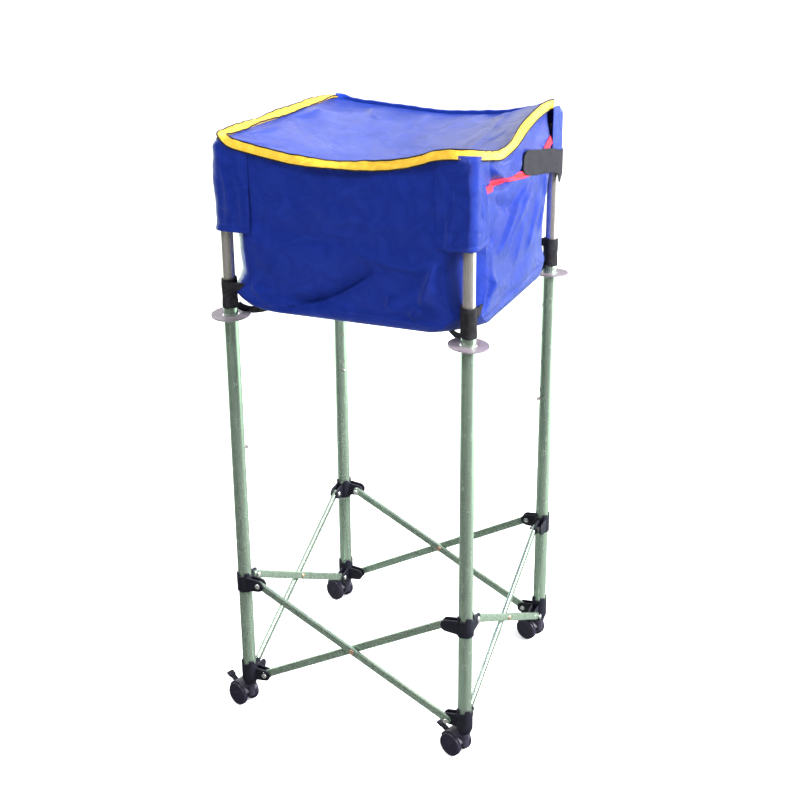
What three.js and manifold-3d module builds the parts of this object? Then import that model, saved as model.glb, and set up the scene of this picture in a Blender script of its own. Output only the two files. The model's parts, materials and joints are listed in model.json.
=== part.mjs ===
// Folding ball cart: four telescoping legs on casters, joined on every side by two crossed bars
// whose upper ends ride on sliding collars, with a lidded cloth bag hung on the leg masts.
// Millimetres, +Z up, front towards -Y. The origin is on the floor, under the middle of the outline.
import * as THREE from "three";
import { mergeVertices } from "three/addons/utils/BufferGeometryUtils.js";
import Module from "manifold-3d";

const wasm = await Module();
wasm.setup();

// Sizes shared by the whole cart
const legSpacing = 384;
const runningGap = 0.3;
const cutOverrun = 4;
const roundSides = 16;
const wheelSides = 16;
const smallSides = 8;
const quarterTurn = Math.PI / 2;
const halfTurn = Math.PI;
const weldDistance = 0.001;
const fullCircleDegrees = 360;
const quarterCircleDegrees = 90;

// Leg tubes and masts
const tubeRadius = 11;
const tubeWall = 1.2;
const tubeTop = 708;
const mastWall = 1;
const mastRadius = tubeRadius - tubeWall - runningGap;
const mastBore = mastRadius - mastWall;

// Snap buttons and height holes, which face the middle of the cart
const pinRadius = 2.6;
const pinReach = 6;
const pinDome = 0.8;
const pinBelowTop = 234;
const pinHeight = tubeTop - pinBelowTop;
const mastBelowPin = 34;
const mastLow = pinHeight - mastBelowPin;
const flangeRadius = 4.5;
const flangeThickness = 1.2;
const firstHoleRise = 17;
const holePitch = 50;
const holeCount = 4;

// Sockets and sliding collars
const barrelRadius = 13.2;
const socketLow = 44;
const socketNeckTop = 54;
const socketNeckRadius = 9.6;
const socketSeat = 56;
const socketTop = 84;
const socketPivotRise = 8;
const socketPivotHeight = socketSeat + socketPivotRise;
const collarPivotHeight = 237;
const collarBelowPivot = 15;
const collarAbovePivot = 13;
const collarLow = collarPivotHeight - collarBelowPivot;
const collarTop = collarPivotHeight + collarAbovePivot;
const collarGap = 0.4;
const fingerHeight = 6;
const fingerWidth = 7;
const fingerCount = 4;

// Clevises and cross bars
const pivotInset = 28;
const cheekThickness = 3;
const cheekRootHalf = 12;
const cheekEndRadius = 10;
const barHeight = 13;
const barThickness = 7;
const barBevel = 2;
const barPlay = 1;
const rivetRadius = 2.5;
const rivetHeadRadius = 4.4;
const rivetHeadHeight = 1.8;
const barOffset = (barThickness + barPlay) / 2;
const slotHalf = barThickness / 2 + runningGap;

// Casters
const stemRadius = 5;
const stemTop = 55;
const casterTop = 43.4;
const casterHeading = THREE.MathUtils.degToRad(160);
const wheelRadius = 20;
const wheelTrail = 18;
const wheelInner = 7.8;
const wheelOuter = 17.5;
const wheelRim = 3.4;
const wheelRimStep = 0.8;
const treadRound = 2;
const axleRadius = 2.5;
const axleCap = 1.8;
const webHalf = 7.2;
const webRadius = 15;
const hoodWall = 1.8;
const hoodGap = 0.7;
const hoodHalf = 13.5;
const hoodStart = THREE.MathUtils.degToRad(24);
const hoodEnd = THREE.MathUtils.degToRad(158);
const hoodSteps = 6;
const bossFlare = 9.4;
const bossFlareHeight = 3.4;

// Brake levers of the front casters
const leverHalf = 5;
const leverGap = 0.5;
const leverHub = 3;
const leverThickness = 2.6;
const leverReach = 25;
const leverPadLength = 10;
const leverPadHalf = 6.4;
const leverPivotX = 32;
const leverPivotZ = 30;
const leverPinRadius = 1.5;
const leverAngle = THREE.MathUtils.degToRad(28);

// Bag
const clothThickness = 2.5;
const bagProud = 11;
const bagFloorDrop = 1;
const bagFloorHeight = tubeTop - bagFloorDrop;
const bagDepth = 259;
const rimHeight = bagFloorHeight + bagDepth;
const sleeveSeam = 35;
const cornerSeam = 62;
const sleeveLength = 136;
const sleeveLow = rimHeight - sleeveLength;
const sleeveCorner = 5;
const sleeveFit = 0.4;
const mastBelowRim = 8;
const mastTop = rimHeight - mastBelowRim;
const rimSag = 25;
const lidSag = 20;
const lidSteps = 8;
const lidCover = 60;

// How far the bag's rim rises or sags along each side, from each leg to the next, as shares of its sag
const rimShares = [
  [0.12, -0.04, -0.44, -0.84, -1, -0.84, -0.54, 0.12, 0.2],
  [0.2, -0.36, -0.68, -0.76, -0.64, -0.32, 0.16, 0.48, 0.24],
  [0.24, 0.08, -0.08, -0.2, -0.24, -0.2, -0.12, -0.04, 0],
  [0, 0, 0, 0, 0, 0, 0.04, 0.08, 0.12],
];

// Ties and guard discs
const tieThickness = 2.2;
const tieRise = 0.4;
const tieLow = tubeTop + tieRise;
const tieHeight = 46;
const tabHeight = 12;
const tabRise = 28;
const tabReach = 54;
const tabThickness = 2.5;
const discRadius = 30;
const discThickness = 1.5;
const discBelowTop = 12;
const discHeight = tubeTop - discBelowTop;
const discGap = 1.6;
const discTilt = THREE.MathUtils.degToRad(4);

// Finishes
const polishedSteel = new THREE.MeshStandardMaterial({ color: 0x9aa791, roughness: 0.3, metalness: 0.9 });
const chrome = new THREE.MeshStandardMaterial({ color: 0xc4bab4, roughness: 0.18, metalness: 1 });
const rivetSteel = new THREE.MeshStandardMaterial({ color: 0xb08468, roughness: 0.35, metalness: 0.9 });
const blackMoulding = new THREE.MeshStandardMaterial({ color: 0x17191f, roughness: 0.5, metalness: 0 });
const wheelPlastic = new THREE.MeshStandardMaterial({ color: 0x2a2833, roughness: 0.45, metalness: 0 });
const blueCloth = new THREE.MeshStandardMaterial({ color: 0x2439b0, roughness: 0.55, metalness: 0 });
const blackWebbing = new THREE.MeshStandardMaterial({ color: 0x14151a, roughness: 0.85, metalness: 0 });
const clearPlastic = new THREE.MeshStandardMaterial({ color: 0xb8aab4, roughness: 0.35, metalness: 0 });

const corners = ["front_left", "front_right", "back_right", "back_left"];
const sides = ["front", "right", "back", "left"];
const brakedCorners = 2;

// A closed geometry as a solid that can be joined and cut
function solidOf(geometry) {
  geometry.deleteAttribute("normal");
  geometry.deleteAttribute("uv");
  const merged = mergeVertices(geometry, weldDistance);
  const triVerts = new Uint32Array(merged.index.array);
  const vertProperties = merged.attributes.position.array;
  return new wasm.Manifold(new wasm.Mesh({ numProp: 3, vertProperties, triVerts }));
}

// A finished solid as a named mesh
function meshOf(name, solid, material) {
  const { vertProperties, triVerts } = solid.getMesh();
  const indexed = new THREE.BufferGeometry();
  indexed.setAttribute("position", new THREE.BufferAttribute(vertProperties, 3));
  indexed.setIndex(new THREE.BufferAttribute(triVerts, 1));
  const geometry = indexed.toNonIndexed();
  geometry.computeVertexNormals();
  const mesh = new THREE.Mesh(geometry, material);
  mesh.name = name;
  return mesh;
}

// A profile of [radius, height] points turned round the Z axis
function turned(profile, facets = roundSides) {
  const points = profile.map(([radius, height]) => new THREE.Vector2(radius, height));
  return new THREE.LatheGeometry(points, facets).rotateX(quarterTurn);
}

// A plain round bar along Z
function rod(radius, low, high, facets = smallSides) {
  return turned([[0, low], [radius, low], [radius, high], [0, high]], facets);
}

// A tube along Z
function pipe(outer, inner, low, high) {
  return turned([[inner, low], [outer, low], [outer, high], [inner, high], [inner, low]]);
}

// The same round bar laid along X or Y
function rodAlongX(radius, low, high, facets = smallSides) {
  return rod(radius, low, high, facets).rotateY(quarterTurn);
}

function rodAlongY(radius, low, high, facets = smallSides) {
  return rod(radius, -high, -low, facets).rotateX(quarterTurn);
}

// An outline drawn in X and Z, with its thickness along Y
function plate(outline, nearY, farY, curveSegments = 4) {
  const settings = { depth: farY - nearY, bevelEnabled: false, curveSegments };
  return new THREE.ExtrudeGeometry(outline, settings).rotateX(quarterTurn).translate(0, farY, 0);
}

function outlineOf(points) {
  return new THREE.Shape(points.map(([x, y]) => new THREE.Vector2(x, y)));
}

// A rectangular block between two corners
function block(low, high) {
  const size = high.map((value, axis) => value - low[axis]);
  const middle = high.map((value, axis) => (value + low[axis]) / 2);
  return new THREE.BoxGeometry(...size).translate(...middle);
}

// Leg tube: its holes face +X here, and the mesh is turned towards the middle of the cart
function makeLegTube() {
  let tube = solidOf(pipe(tubeRadius, tubeRadius - tubeWall, socketSeat + runningGap, tubeTop));
  const heights = [pinHeight];
  for (let hole = 0; hole < holeCount; hole += 1) {
    heights.push(pinHeight + firstHoleRise + hole * holePitch);
  }
  for (const height of heights) {
    tube = tube.subtract(solidOf(pinHole().translate(0, 0, height)));
  }
  return tube;
}

// Cutter for a pin hole in the +X wall of a tube
function pinHole() {
  return rodAlongX(pinRadius + runningGap, mastBore - flangeThickness, tubeRadius + cutOverrun);
}

function makeMast() {
  const mast = solidOf(pipe(mastRadius, mastBore, mastLow, mastTop));
  return mast.subtract(solidOf(pinHole().translate(0, 0, pinHeight)));
}

// Snap button: a domed pin with a flange that bears on the inside of the mast
function makeSnapButton() {
  const flangeFace = Math.sqrt((mastBore - runningGap) ** 2 - flangeRadius ** 2);
  const tip = tubeRadius + pinReach;
  const profile = [
    [0, flangeFace - flangeThickness],
    [flangeRadius, flangeFace - flangeThickness],
    [flangeRadius, flangeFace],
    [pinRadius, flangeFace],
    [pinRadius, tip - pinDome],
    [pinRadius - pinDome, tip],
    [0, tip],
  ];
  return solidOf(turned(profile, smallSides).rotateY(quarterTurn).translate(0, 0, pinHeight));
}

// Two clevis cheeks on the +X side of a barrel, either side of a bar whose middle plane is at barY
function clevisCheeks(barY, pivotHeight) {
  const outline = new THREE.Shape();
  outline.moveTo(0, -cheekRootHalf);
  outline.lineTo(pivotInset, -cheekEndRadius);
  outline.absarc(pivotInset, 0, cheekEndRadius, -quarterTurn, quarterTurn);
  outline.lineTo(0, cheekRootHalf);
  const outer = slotHalf + cheekThickness;
  const near = solidOf(plate(outline, barY - outer, barY - slotHalf));
  const far = solidOf(plate(outline, barY + slotHalf, barY + outer));
  const reach = outer + cutOverrun;
  const hole = rodAlongY(rivetRadius + runningGap, barY - reach, barY + reach).translate(pivotInset, 0, 0);
  return near.add(far).subtract(solidOf(hole)).translate([0, 0, pivotHeight]);
}

// The mirror image of a solid across the upright plane through the cart's diagonal
function swapSides(solid) {
  return solid.mirror([1, -1, 0]);
}

// Clevises on both inner sides, the bars one offset in and one offset out
function clevisPair(sign, pivotHeight) {
  const first = clevisCheeks(sign * barOffset, pivotHeight);
  const second = swapSides(clevisCheeks(-sign * barOffset, pivotHeight));
  return first.add(second);
}

// Notches that leave a ring of fingers on top of a barrel
function fingerNotches(top) {
  const notchHalf = (Math.SQRT2 * barrelRadius - fingerWidth) / 2;
  const reach = barrelRadius + cutOverrun;
  let notches;
  for (let turn = 0; turn < fingerCount; turn += 1) {
    const notch = solidOf(block([0, -notchHalf, top], [reach, notchHalf, top + fingerHeight + cutOverrun]));
    const placed = notch.rotate([0, 0, (turn * fullCircleDegrees) / fingerCount]);
    notches = notches ? notches.add(placed) : placed;
  }
  return notches;
}

// Caster socket: a barrel that takes the leg tube from above and the caster stem from below
function makeSocket() {
  const crown = socketTop + fingerHeight;
  const profile = [
    [0, socketLow],
    [socketNeckRadius, socketLow],
    [barrelRadius, socketNeckTop],
    [barrelRadius, crown],
    [0, crown],
  ];
  const bore = rod(tubeRadius + runningGap, socketSeat, crown + cutOverrun, roundSides);
  const stemBore = rod(stemRadius + runningGap, socketLow - cutOverrun, socketSeat + cutOverrun, roundSides);
  const body = solidOf(turned(profile)).add(clevisPair(1, socketPivotHeight));
  return body.subtract(solidOf(bore)).subtract(solidOf(stemBore)).subtract(fingerNotches(socketTop));
}

// Sliding collar: a short barrel that runs freely on the leg tube
function makeCollar() {
  const crown = collarTop + fingerHeight;
  const profile = [
    [0, collarLow],
    [barrelRadius, collarLow],
    [barrelRadius, crown],
    [0, crown],
  ];
  const bore = rod(tubeRadius + collarGap, collarLow - cutOverrun, crown + cutOverrun, roundSides);
  const body = solidOf(turned(profile)).add(clevisPair(-1, collarPivotHeight));
  return body.subtract(solidOf(bore)).subtract(fingerNotches(collarTop));
}

// A rivet along Y whose heads bear on faces at plus and minus grip
function rivet(grip) {
  const face = grip + runningGap;
  const end = face + rivetHeadHeight;
  const profile = [
    [0, -end],
    [rivetHeadRadius, -end],
    [rivetHeadRadius, -face],
    [rivetRadius, -face],
    [rivetRadius, face],
    [rivetHeadRadius, face],
    [rivetHeadRadius, end],
    [0, end],
  ];
  return solidOf(turned(profile, smallSides).rotateX(quarterTurn));
}

// Cross bar along X, middle at the origin, with its two end rivets set in it
const barSpan = legSpacing - 2 * pivotInset;
const barRise = collarPivotHeight - socketPivotHeight;
const barLength = Math.hypot(barSpan, barRise);
const barAngle = Math.atan2(barRise, barSpan);

function makeBar() {
  const radius = barHeight / 2 - barBevel;
  const outline = new THREE.Shape();
  outline.absarc(barLength / 2, 0, radius, -quarterTurn, quarterTurn);
  outline.absarc(-barLength / 2, 0, radius, quarterTurn, quarterTurn + halfTurn);
  const settings = {
    depth: barThickness - 2 * barBevel,
    bevelThickness: barBevel,
    bevelSize: barBevel,
    bevelSegments: 1,
    curveSegments: 4,
  };
  const flat = new THREE.ExtrudeGeometry(outline, settings).rotateX(quarterTurn);
  flat.translate(0, settings.depth / 2, 0);
  const end = rivet(slotHalf + cheekThickness);
  const left = end.translate([-barLength / 2, 0, 0]);
  const right = end.translate([barLength / 2, 0, 0]);
  const crossing = rodAlongY(rivetRadius + runningGap, -barThickness, barThickness);
  return solidOf(flat).subtract(solidOf(crossing)).add(left).add(right);
}

// Caster housing: stem, boss, centre web and a hood over the treads, trailing along +X
function makeCasterHousing(braked) {
  const hoodInner = wheelRadius + hoodGap;
  const hoodOuter = hoodInner + hoodWall;
  const wedge = new THREE.Shape();
  wedge.absarc(wheelTrail, wheelRadius, hoodOuter, hoodStart, hoodEnd);
  wedge.absarc(wheelTrail, wheelRadius, webRadius, hoodEnd, hoodStart + 2 * halfTurn);
  const hood = new THREE.Shape();
  hood.absarc(wheelTrail, wheelRadius, hoodOuter, hoodStart, hoodEnd);
  hood.absarc(wheelTrail, wheelRadius, hoodInner, hoodEnd, hoodStart, true);
  const bossProfile = [
    [0, wheelRadius],
    [webHalf, wheelRadius],
    [webHalf, casterTop - bossFlareHeight * 2],
    [bossFlare, casterTop - bossFlareHeight],
    [bossFlare, casterTop],
    [stemRadius, casterTop],
    [stemRadius, stemTop],
    [0, stemTop],
  ];
  const axleReach = wheelOuter - axleCap - runningGap;
  const axle = rodAlongY(axleRadius, -axleReach, axleReach).translate(wheelTrail, 0, wheelRadius);
  const web = solidOf(plate(wedge, -webHalf, webHalf, hoodSteps));
  const shell = solidOf(plate(hood, -hoodHalf, hoodHalf, hoodSteps));
  const boss = solidOf(turned(bossProfile, smallSides));
  const housing = web.add(shell).add(boss).add(solidOf(axle));
  if (!braked) {
    return housing;
  }
  const pocketStart = leverPivotX - leverHub - leverGap;
  const pocketEnd = wheelTrail + hoodOuter + cutOverrun;
  const pocketFloor = leverPivotZ - leverHub - leverGap;
  const slotHalfWidth = leverHalf + leverGap;
  const pocket = block([pocketStart, -slotHalfWidth, pocketFloor], [pocketEnd, slotHalfWidth, casterTop]);
  const pinBore = rodAlongY(leverPinRadius + runningGap, -hoodHalf, hoodHalf);
  const pinPlaced = pinBore.translate(leverPivotX, 0, leverPivotZ);
  return housing.subtract(solidOf(pocket)).subtract(solidOf(pinPlaced));
}

// Brake lever: a hub with pin ends between the housing's cheeks and a foot pad behind the hood
function makeBrakeLever() {
  const hub = solidOf(rodAlongY(leverHub, -leverHalf, leverHalf));
  const pin = solidOf(rodAlongY(leverPinRadius, -webHalf, webHalf));
  const half = leverThickness / 2;
  const arm = solidOf(block([0, -leverHalf, -half], [leverReach, leverHalf, half]));
  const padStart = leverReach - leverPadLength;
  const pad = solidOf(block([padStart, -leverPadHalf, -half], [leverReach, leverPadHalf, leverThickness]));
  const lever = hub.add(pin).add(arm.add(pad).rotate([0, -THREE.MathUtils.radToDeg(leverAngle), 0]));
  return lever.translate([leverPivotX, 0, leverPivotZ]);
}

// Twin caster wheel on the +Y side of its housing: a shallow dish with a closed outer face
function makeWheel() {
  const capFace = wheelOuter - axleCap;
  const profile = [
    [0, capFace],
    [axleRadius + runningGap, capFace],
    [axleRadius + runningGap, wheelInner],
    [wheelRadius, wheelInner],
    [wheelRadius, wheelOuter - treadRound],
    [wheelRadius - treadRound, wheelOuter],
    [wheelRadius - wheelRim, wheelOuter],
    [wheelRadius - wheelRim, wheelOuter - wheelRimStep],
    [0, wheelOuter - wheelRimStep],
  ];
  return solidOf(turned(profile, wheelSides).rotateX(quarterTurn).rotateZ(halfTurn));
}

// Height of the lid's underside at shares u and v of the bag's width and depth, from the front left
function lidHeight(column, row) {
  const [front, right, back, left] = rimShares;
  const u = column / lidSteps;
  const v = row / lidSteps;
  const lastStep = lidSteps;
  const alongX = (1 - v) * front[column] + v * back[lastStep - column];
  const alongY = (1 - u) * left[lastStep - row] + u * right[row];
  const nearCorners = (1 - u) * front[0] + u * front[lastStep];
  const farCorners = (1 - u) * back[lastStep] + u * back[0];
  const rim = alongX + alongY - (1 - v) * nearCorners - v * farCorners;
  const dip = Math.sin(u * halfTurn) * Math.sin(v * halfTurn);
  return rimHeight + rimSag * rim - lidSag * dip;
}

// A sheet over the whole bag between two heights above the lid's underside, with a border past its edge
function lidSheet(low, high, border) {
  const half = legSpacing / 2 + bagProud;
  const steps = lidSteps + 2;
  const clampStep = (value) => THREE.MathUtils.clamp(value - 1, 0, lidSteps);
  const place = (value) => {
    const inner = -half + (2 * half * clampStep(value)) / lidSteps;
    const overhang = (value - 1 - clampStep(value)) * border;
    return inner + overhang;
  };
  const first = border > 0 ? 0 : 1;
  const last = border > 0 ? steps : steps - 1;
  const count = last - first + 1;
  const positions = [];
  for (const offset of [low, high]) {
    for (let row = first; row <= last; row += 1) {
      for (let column = first; column <= last; column += 1) {
        const height = lidHeight(clampStep(column), clampStep(row));
        positions.push(place(column), place(row), height + offset);
      }
    }
  }
  const index = [];
  const quad = (a, b, c, d) => index.push(a, b, c, a, c, d);
  const layer = count * count;
  for (let row = 0; row < count - 1; row += 1) {
    for (let column = 0; column < count - 1; column += 1) {
      const a = row * count + column;
      quad(a, a + count, a + count + 1, a + 1);
      quad(layer + a, layer + a + 1, layer + a + count + 1, layer + a + count);
    }
  }
  const corner = count - 1;
  for (let step = 0; step < corner; step += 1) {
    const frontEdge = step;
    const backEdge = corner * count + step;
    const leftEdge = step * count;
    const rightEdge = step * count + corner;
    quad(frontEdge, frontEdge + 1, layer + frontEdge + 1, layer + frontEdge);
    quad(backEdge + 1, backEdge, layer + backEdge, layer + backEdge + 1);
    quad(leftEdge + count, leftEdge, layer + leftEdge, layer + leftEdge + count);
    quad(rightEdge, rightEdge + count, layer + rightEdge + count, layer + rightEdge);
  }
  const sheet = new THREE.BufferGeometry();
  sheet.setAttribute("position", new THREE.Float32BufferAttribute(positions, 3));
  sheet.setIndex(index);
  return solidOf(sheet);
}

// Bag wall in its leg's own frame: the sleeve over the mast, the wall to the next sleeve,
// and below the sleeves a flap that turns behind the next mast to close the corner
function makeBagWall(overLid) {
  const top = rimHeight + rimSag;
  const wallEnd = legSpacing - bagProud - runningGap;
  const innerFace = clothThickness - bagProud;
  const upper = block([-bagProud, -bagProud, sleeveLow], [wallEnd, innerFace, top]);
  const flapStart = legSpacing - cornerSeam;
  const lower = block([cornerSeam, -bagProud, bagFloorHeight], [flapStart, innerFace, sleeveLow + cutOverrun]);
  const flapLength = Math.SQRT2 * (cornerSeam - innerFace);
  const flap = block([0, 0, bagFloorHeight], [flapLength, clothThickness, sleeveLow - runningGap]);
  flap.rotateZ(quarterTurn / 2).translate(flapStart, -bagProud, 0);
  const sleeveOutline = new THREE.Shape();
  const reach = sleeveSeam - sleeveCorner;
  const depth = bagProud - sleeveCorner;
  sleeveOutline.absarc(reach, -depth, sleeveCorner, -quarterTurn, 0);
  sleeveOutline.absarc(reach, depth, sleeveCorner, 0, quarterTurn);
  sleeveOutline.absarc(-depth, depth, sleeveCorner, quarterTurn, halfTurn);
  sleeveOutline.absarc(-depth, -depth, sleeveCorner, halfTurn, halfTurn + quarterTurn);
  const settings = { depth: top - sleeveLow, bevelEnabled: false, curveSegments: 3 };
  const sleeve = new THREE.ExtrudeGeometry(sleeveOutline, settings).translate(0, 0, sleeveLow);
  const bore = rod(mastRadius + sleeveFit, sleeveLow - cutOverrun, mastTop + sleeveFit, roundSides);
  const wall = solidOf(upper).add(solidOf(lower)).add(solidOf(flap)).add(solidOf(sleeve));
  return wall.subtract(solidOf(bore)).subtract(overLid);
}

// Bag floor: a square with its corners cut behind the masts
function makeBagFloor() {
  const half = legSpacing / 2 + bagProud - clothThickness - runningGap;
  const cut = cornerSeam + bagProud + clothThickness;
  const edge = half - cut;
  const outline = outlineOf([
    [-edge, -half], [edge, -half], [half, -edge], [half, edge],
    [edge, half], [-edge, half], [-half, edge], [-half, -edge],
  ]);
  const settings = { depth: clothThickness, bevelEnabled: false };
  return solidOf(new THREE.ExtrudeGeometry(outline, settings).translate(0, 0, bagFloorHeight));
}

// Tie round the mast, with a tab towards the bag wall
function makeTie() {
  const outer = mastRadius + runningGap + tieThickness;
  const band = solidOf(pipe(outer, mastRadius + runningGap, tieLow, tieLow + tieHeight));
  const tabLow = tieLow + tabRise;
  const tabNear = -mastRadius - tabThickness / 2;
  const tab = block([0, tabNear, tabLow], [tabReach, tabNear + tabThickness, tabLow + tabHeight]);
  const bore = rod(mastRadius + runningGap, tieLow - cutOverrun, tieLow + tieHeight + cutOverrun, roundSides);
  return band.add(solidOf(tab)).subtract(solidOf(bore));
}

// Guard disc, tilted a little on the leg tube
function makeDisc() {
  const half = discThickness / 2;
  const disc = solidOf(pipe(discRadius, tubeRadius + discGap, -half, half));
  return disc.rotate([THREE.MathUtils.radToDeg(discTilt), 0, 0]).translate([0, 0, discHeight]);
}

// Assembly: everything repeated sits in a frame turned to its own leg
const cart = new THREE.Group();
const halfSpacing = legSpacing / 2;
const centreFacing = quarterTurn / 2;
const legTube = makeLegTube();
const mast = makeMast();
const snapButton = makeSnapButton();
const socket = makeSocket();
const collar = makeCollar();
const bar = makeBar();
const crossingRivet = rivet(barOffset + barThickness / 2);
const wheel = makeWheel();
const brakeLever = makeBrakeLever();
const tie = makeTie();
const disc = makeDisc();
const overLid = lidSheet(-runningGap, lidCover, cutOverrun);

function addFacingCentre(frame, name, solid, material) {
  const mesh = meshOf(name, solid, material);
  mesh.rotation.z = centreFacing;
  frame.add(mesh);
}

function makeLegFrame(leg) {
  const frame = new THREE.Group();
  const turn = leg * quarterTurn;
  frame.position.set(-halfSpacing, -halfSpacing, 0).applyAxisAngle(new THREE.Vector3(0, 0, 1), turn);
  frame.rotation.z = turn;
  return frame;
}

function addLeg(frame, corner) {
  addFacingCentre(frame, corner + "_leg_tube", legTube, polishedSteel);
  addFacingCentre(frame, corner + "_mast", mast, chrome);
  addFacingCentre(frame, corner + "_snap_button", snapButton, chrome);
  frame.add(meshOf(corner + "_caster_socket", socket, blackMoulding));
  frame.add(meshOf(corner + "_sliding_collar", collar, blackMoulding));
  frame.add(meshOf(corner + "_bag_tie", tie, blackWebbing));
  frame.add(meshOf(corner + "_guard_disc", disc, clearPlastic));
}

function addCrossBars(frame, side) {
  const middleHeight = (socketPivotHeight + collarPivotHeight) / 2;
  const inner = meshOf(side + "_inner_bar", bar, polishedSteel);
  inner.rotation.y = -barAngle;
  inner.position.set(halfSpacing, barOffset, middleHeight);
  const outer = meshOf(side + "_outer_bar", bar, polishedSteel);
  outer.rotation.y = barAngle;
  outer.position.set(halfSpacing, -barOffset, middleHeight);
  const joint = meshOf(side + "_crossing_rivet", crossingRivet, rivetSteel);
  joint.position.set(halfSpacing, 0, middleHeight);
  frame.add(inner, outer, joint);
}

function addCaster(frame, corner, leg) {
  const braked = leg < brakedCorners;
  const caster = new THREE.Group();
  caster.rotation.z = casterHeading - leg * quarterTurn;
  caster.add(meshOf(corner + "_caster_housing", makeCasterHousing(braked), blackMoulding));
  if (braked) {
    caster.add(meshOf(corner + "_brake_lever", brakeLever, blackMoulding));
  }
  const rearWheel = meshOf(corner + "_wheel_rear", wheel, wheelPlastic);
  rearWheel.rotation.z = halfTurn;
  rearWheel.position.set(wheelTrail, 0, wheelRadius);
  const frontWheel = meshOf(corner + "_wheel_front", wheel, wheelPlastic);
  frontWheel.position.set(wheelTrail, 0, wheelRadius);
  caster.add(rearWheel, frontWheel);
  frame.add(caster);
}

corners.forEach((corner, leg) => {
  const frame = makeLegFrame(leg);
  addLeg(frame, corner);
  addCrossBars(frame, sides[leg]);
  addCaster(frame, corner, leg);
  const wall = makeBagWall(cutterFor(leg));
  frame.add(meshOf(sides[leg] + "_bag_wall", wall, blueCloth));
  cart.add(frame);
});

// The space above the lid's underside, seen from one leg's frame
function cutterFor(leg) {
  return overLid.rotate([0, 0, -leg * quarterCircleDegrees]).translate([halfSpacing, halfSpacing, 0]);
}

cart.add(meshOf("bag_floor", makeBagFloor(), blueCloth));
cart.add(meshOf("bag_lid", lidSheet(0, clothThickness, 0), blueCloth));

// The brake levers reach past the guard discs on one side, so the frame stands off the middle of the outline
const leverTip = leverPivotX + leverReach * Math.cos(leverAngle);
const trailReach = leverPadHalf * Math.sin(casterHeading) - leverTip * Math.cos(casterHeading);
cart.position.x = (trailReach - discRadius) / 2;

export default cart;
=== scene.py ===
import json
import math

import bmesh
import bpy
import numpy as np
from mathutils import Matrix, Vector

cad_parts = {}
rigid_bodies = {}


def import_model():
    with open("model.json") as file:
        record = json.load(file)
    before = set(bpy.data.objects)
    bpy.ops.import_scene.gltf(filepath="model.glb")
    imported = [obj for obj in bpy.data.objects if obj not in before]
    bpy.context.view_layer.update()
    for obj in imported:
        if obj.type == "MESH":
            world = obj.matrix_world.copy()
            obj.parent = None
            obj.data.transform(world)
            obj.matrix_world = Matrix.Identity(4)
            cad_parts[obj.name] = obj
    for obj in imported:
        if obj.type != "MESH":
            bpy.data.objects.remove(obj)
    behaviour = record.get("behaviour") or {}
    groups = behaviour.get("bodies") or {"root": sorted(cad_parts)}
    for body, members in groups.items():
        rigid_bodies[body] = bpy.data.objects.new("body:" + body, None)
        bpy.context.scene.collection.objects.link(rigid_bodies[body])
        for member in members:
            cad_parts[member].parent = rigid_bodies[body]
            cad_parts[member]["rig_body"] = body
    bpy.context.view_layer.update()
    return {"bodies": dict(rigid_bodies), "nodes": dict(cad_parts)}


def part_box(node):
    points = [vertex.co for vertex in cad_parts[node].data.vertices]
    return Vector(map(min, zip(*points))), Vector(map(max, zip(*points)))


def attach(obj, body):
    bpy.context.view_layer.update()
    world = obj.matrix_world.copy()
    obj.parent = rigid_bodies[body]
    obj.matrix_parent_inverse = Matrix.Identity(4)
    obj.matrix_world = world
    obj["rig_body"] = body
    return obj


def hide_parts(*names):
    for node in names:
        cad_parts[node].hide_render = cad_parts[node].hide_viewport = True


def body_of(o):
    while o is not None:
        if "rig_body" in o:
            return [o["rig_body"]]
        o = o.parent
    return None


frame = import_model()
nodes = frame["nodes"]
bodies = frame["bodies"]
scene = bpy.context.scene
mm = 0.001  # shapes are worked out in millimetres and made in metres
quarterTurn = math.pi / 2
halfTurn = math.pi
fullTurn = 2 * math.pi
weldDistance = 1e-6
corners = ["front_left", "front_right", "back_right", "back_left"]
sides = ["front", "right", "back", "left"]


def middleOf(node):
    low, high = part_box(node)
    return np.array((low + high) / 2) / mm


legAt = np.array([middleOf(corner + "_leg_tube") for corner in corners])
legAt[:, 2] = 0
legSpacing = legAt[1][0] - legAt[0][0]
halfSpacing = legSpacing / 2
cartMiddle = (legAt[0] + legAt[2]) / 2
print("frame loaded, legs", round(legSpacing, 2), "mm apart")


# Shapes: a pair of points and faces, in millimetres
def gridFaces(rows, columns, wrap=False, wrapRows=False):
    lastRow = rows if wrapRows else rows - 1
    lastColumn = columns if wrap else columns - 1
    row, column = np.meshgrid(np.arange(lastRow), np.arange(lastColumn), indexing="ij")
    here, below = row * columns, (row + 1) % rows * columns
    beside = (column + 1) % columns
    around = [here + column, here + beside, below + beside, below + column]
    return np.stack(around, -1).reshape(-1, 4).tolist()


def joined(*shapes):
    points, faces, start = [], [], 0
    for shapePoints, shapeFaces in shapes:
        points.append(shapePoints)
        faces.extend([[index + start for index in face] for face in shapeFaces])
        start += len(shapePoints)
    return np.concatenate(points), faces


def unit(vectors):
    return vectors / np.linalg.norm(vectors, axis=-1, keepdims=True)


def softened(points, radius, steps=3, closed=False):
    # each corner becomes a quadratic curve that starts radius away from it, or half an edge if that is less
    points = np.array(points, float)
    count = len(points)
    result = []
    for index, corner in enumerate(points):
        if not closed and index in (0, count - 1):
            result.append(corner)
            continue
        start, end = [
            corner + unit(edge) * min(radius, np.linalg.norm(edge) / 2)
            for edge in (points[index - 1] - corner, points[(index + 1) % count] - corner)
        ]
        for share in np.arange(steps + 1) / steps:
            result.append((1 - share) ** 2 * start + 2 * share * (1 - share) * corner + share**2 * end)
    return np.array(result)


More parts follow.
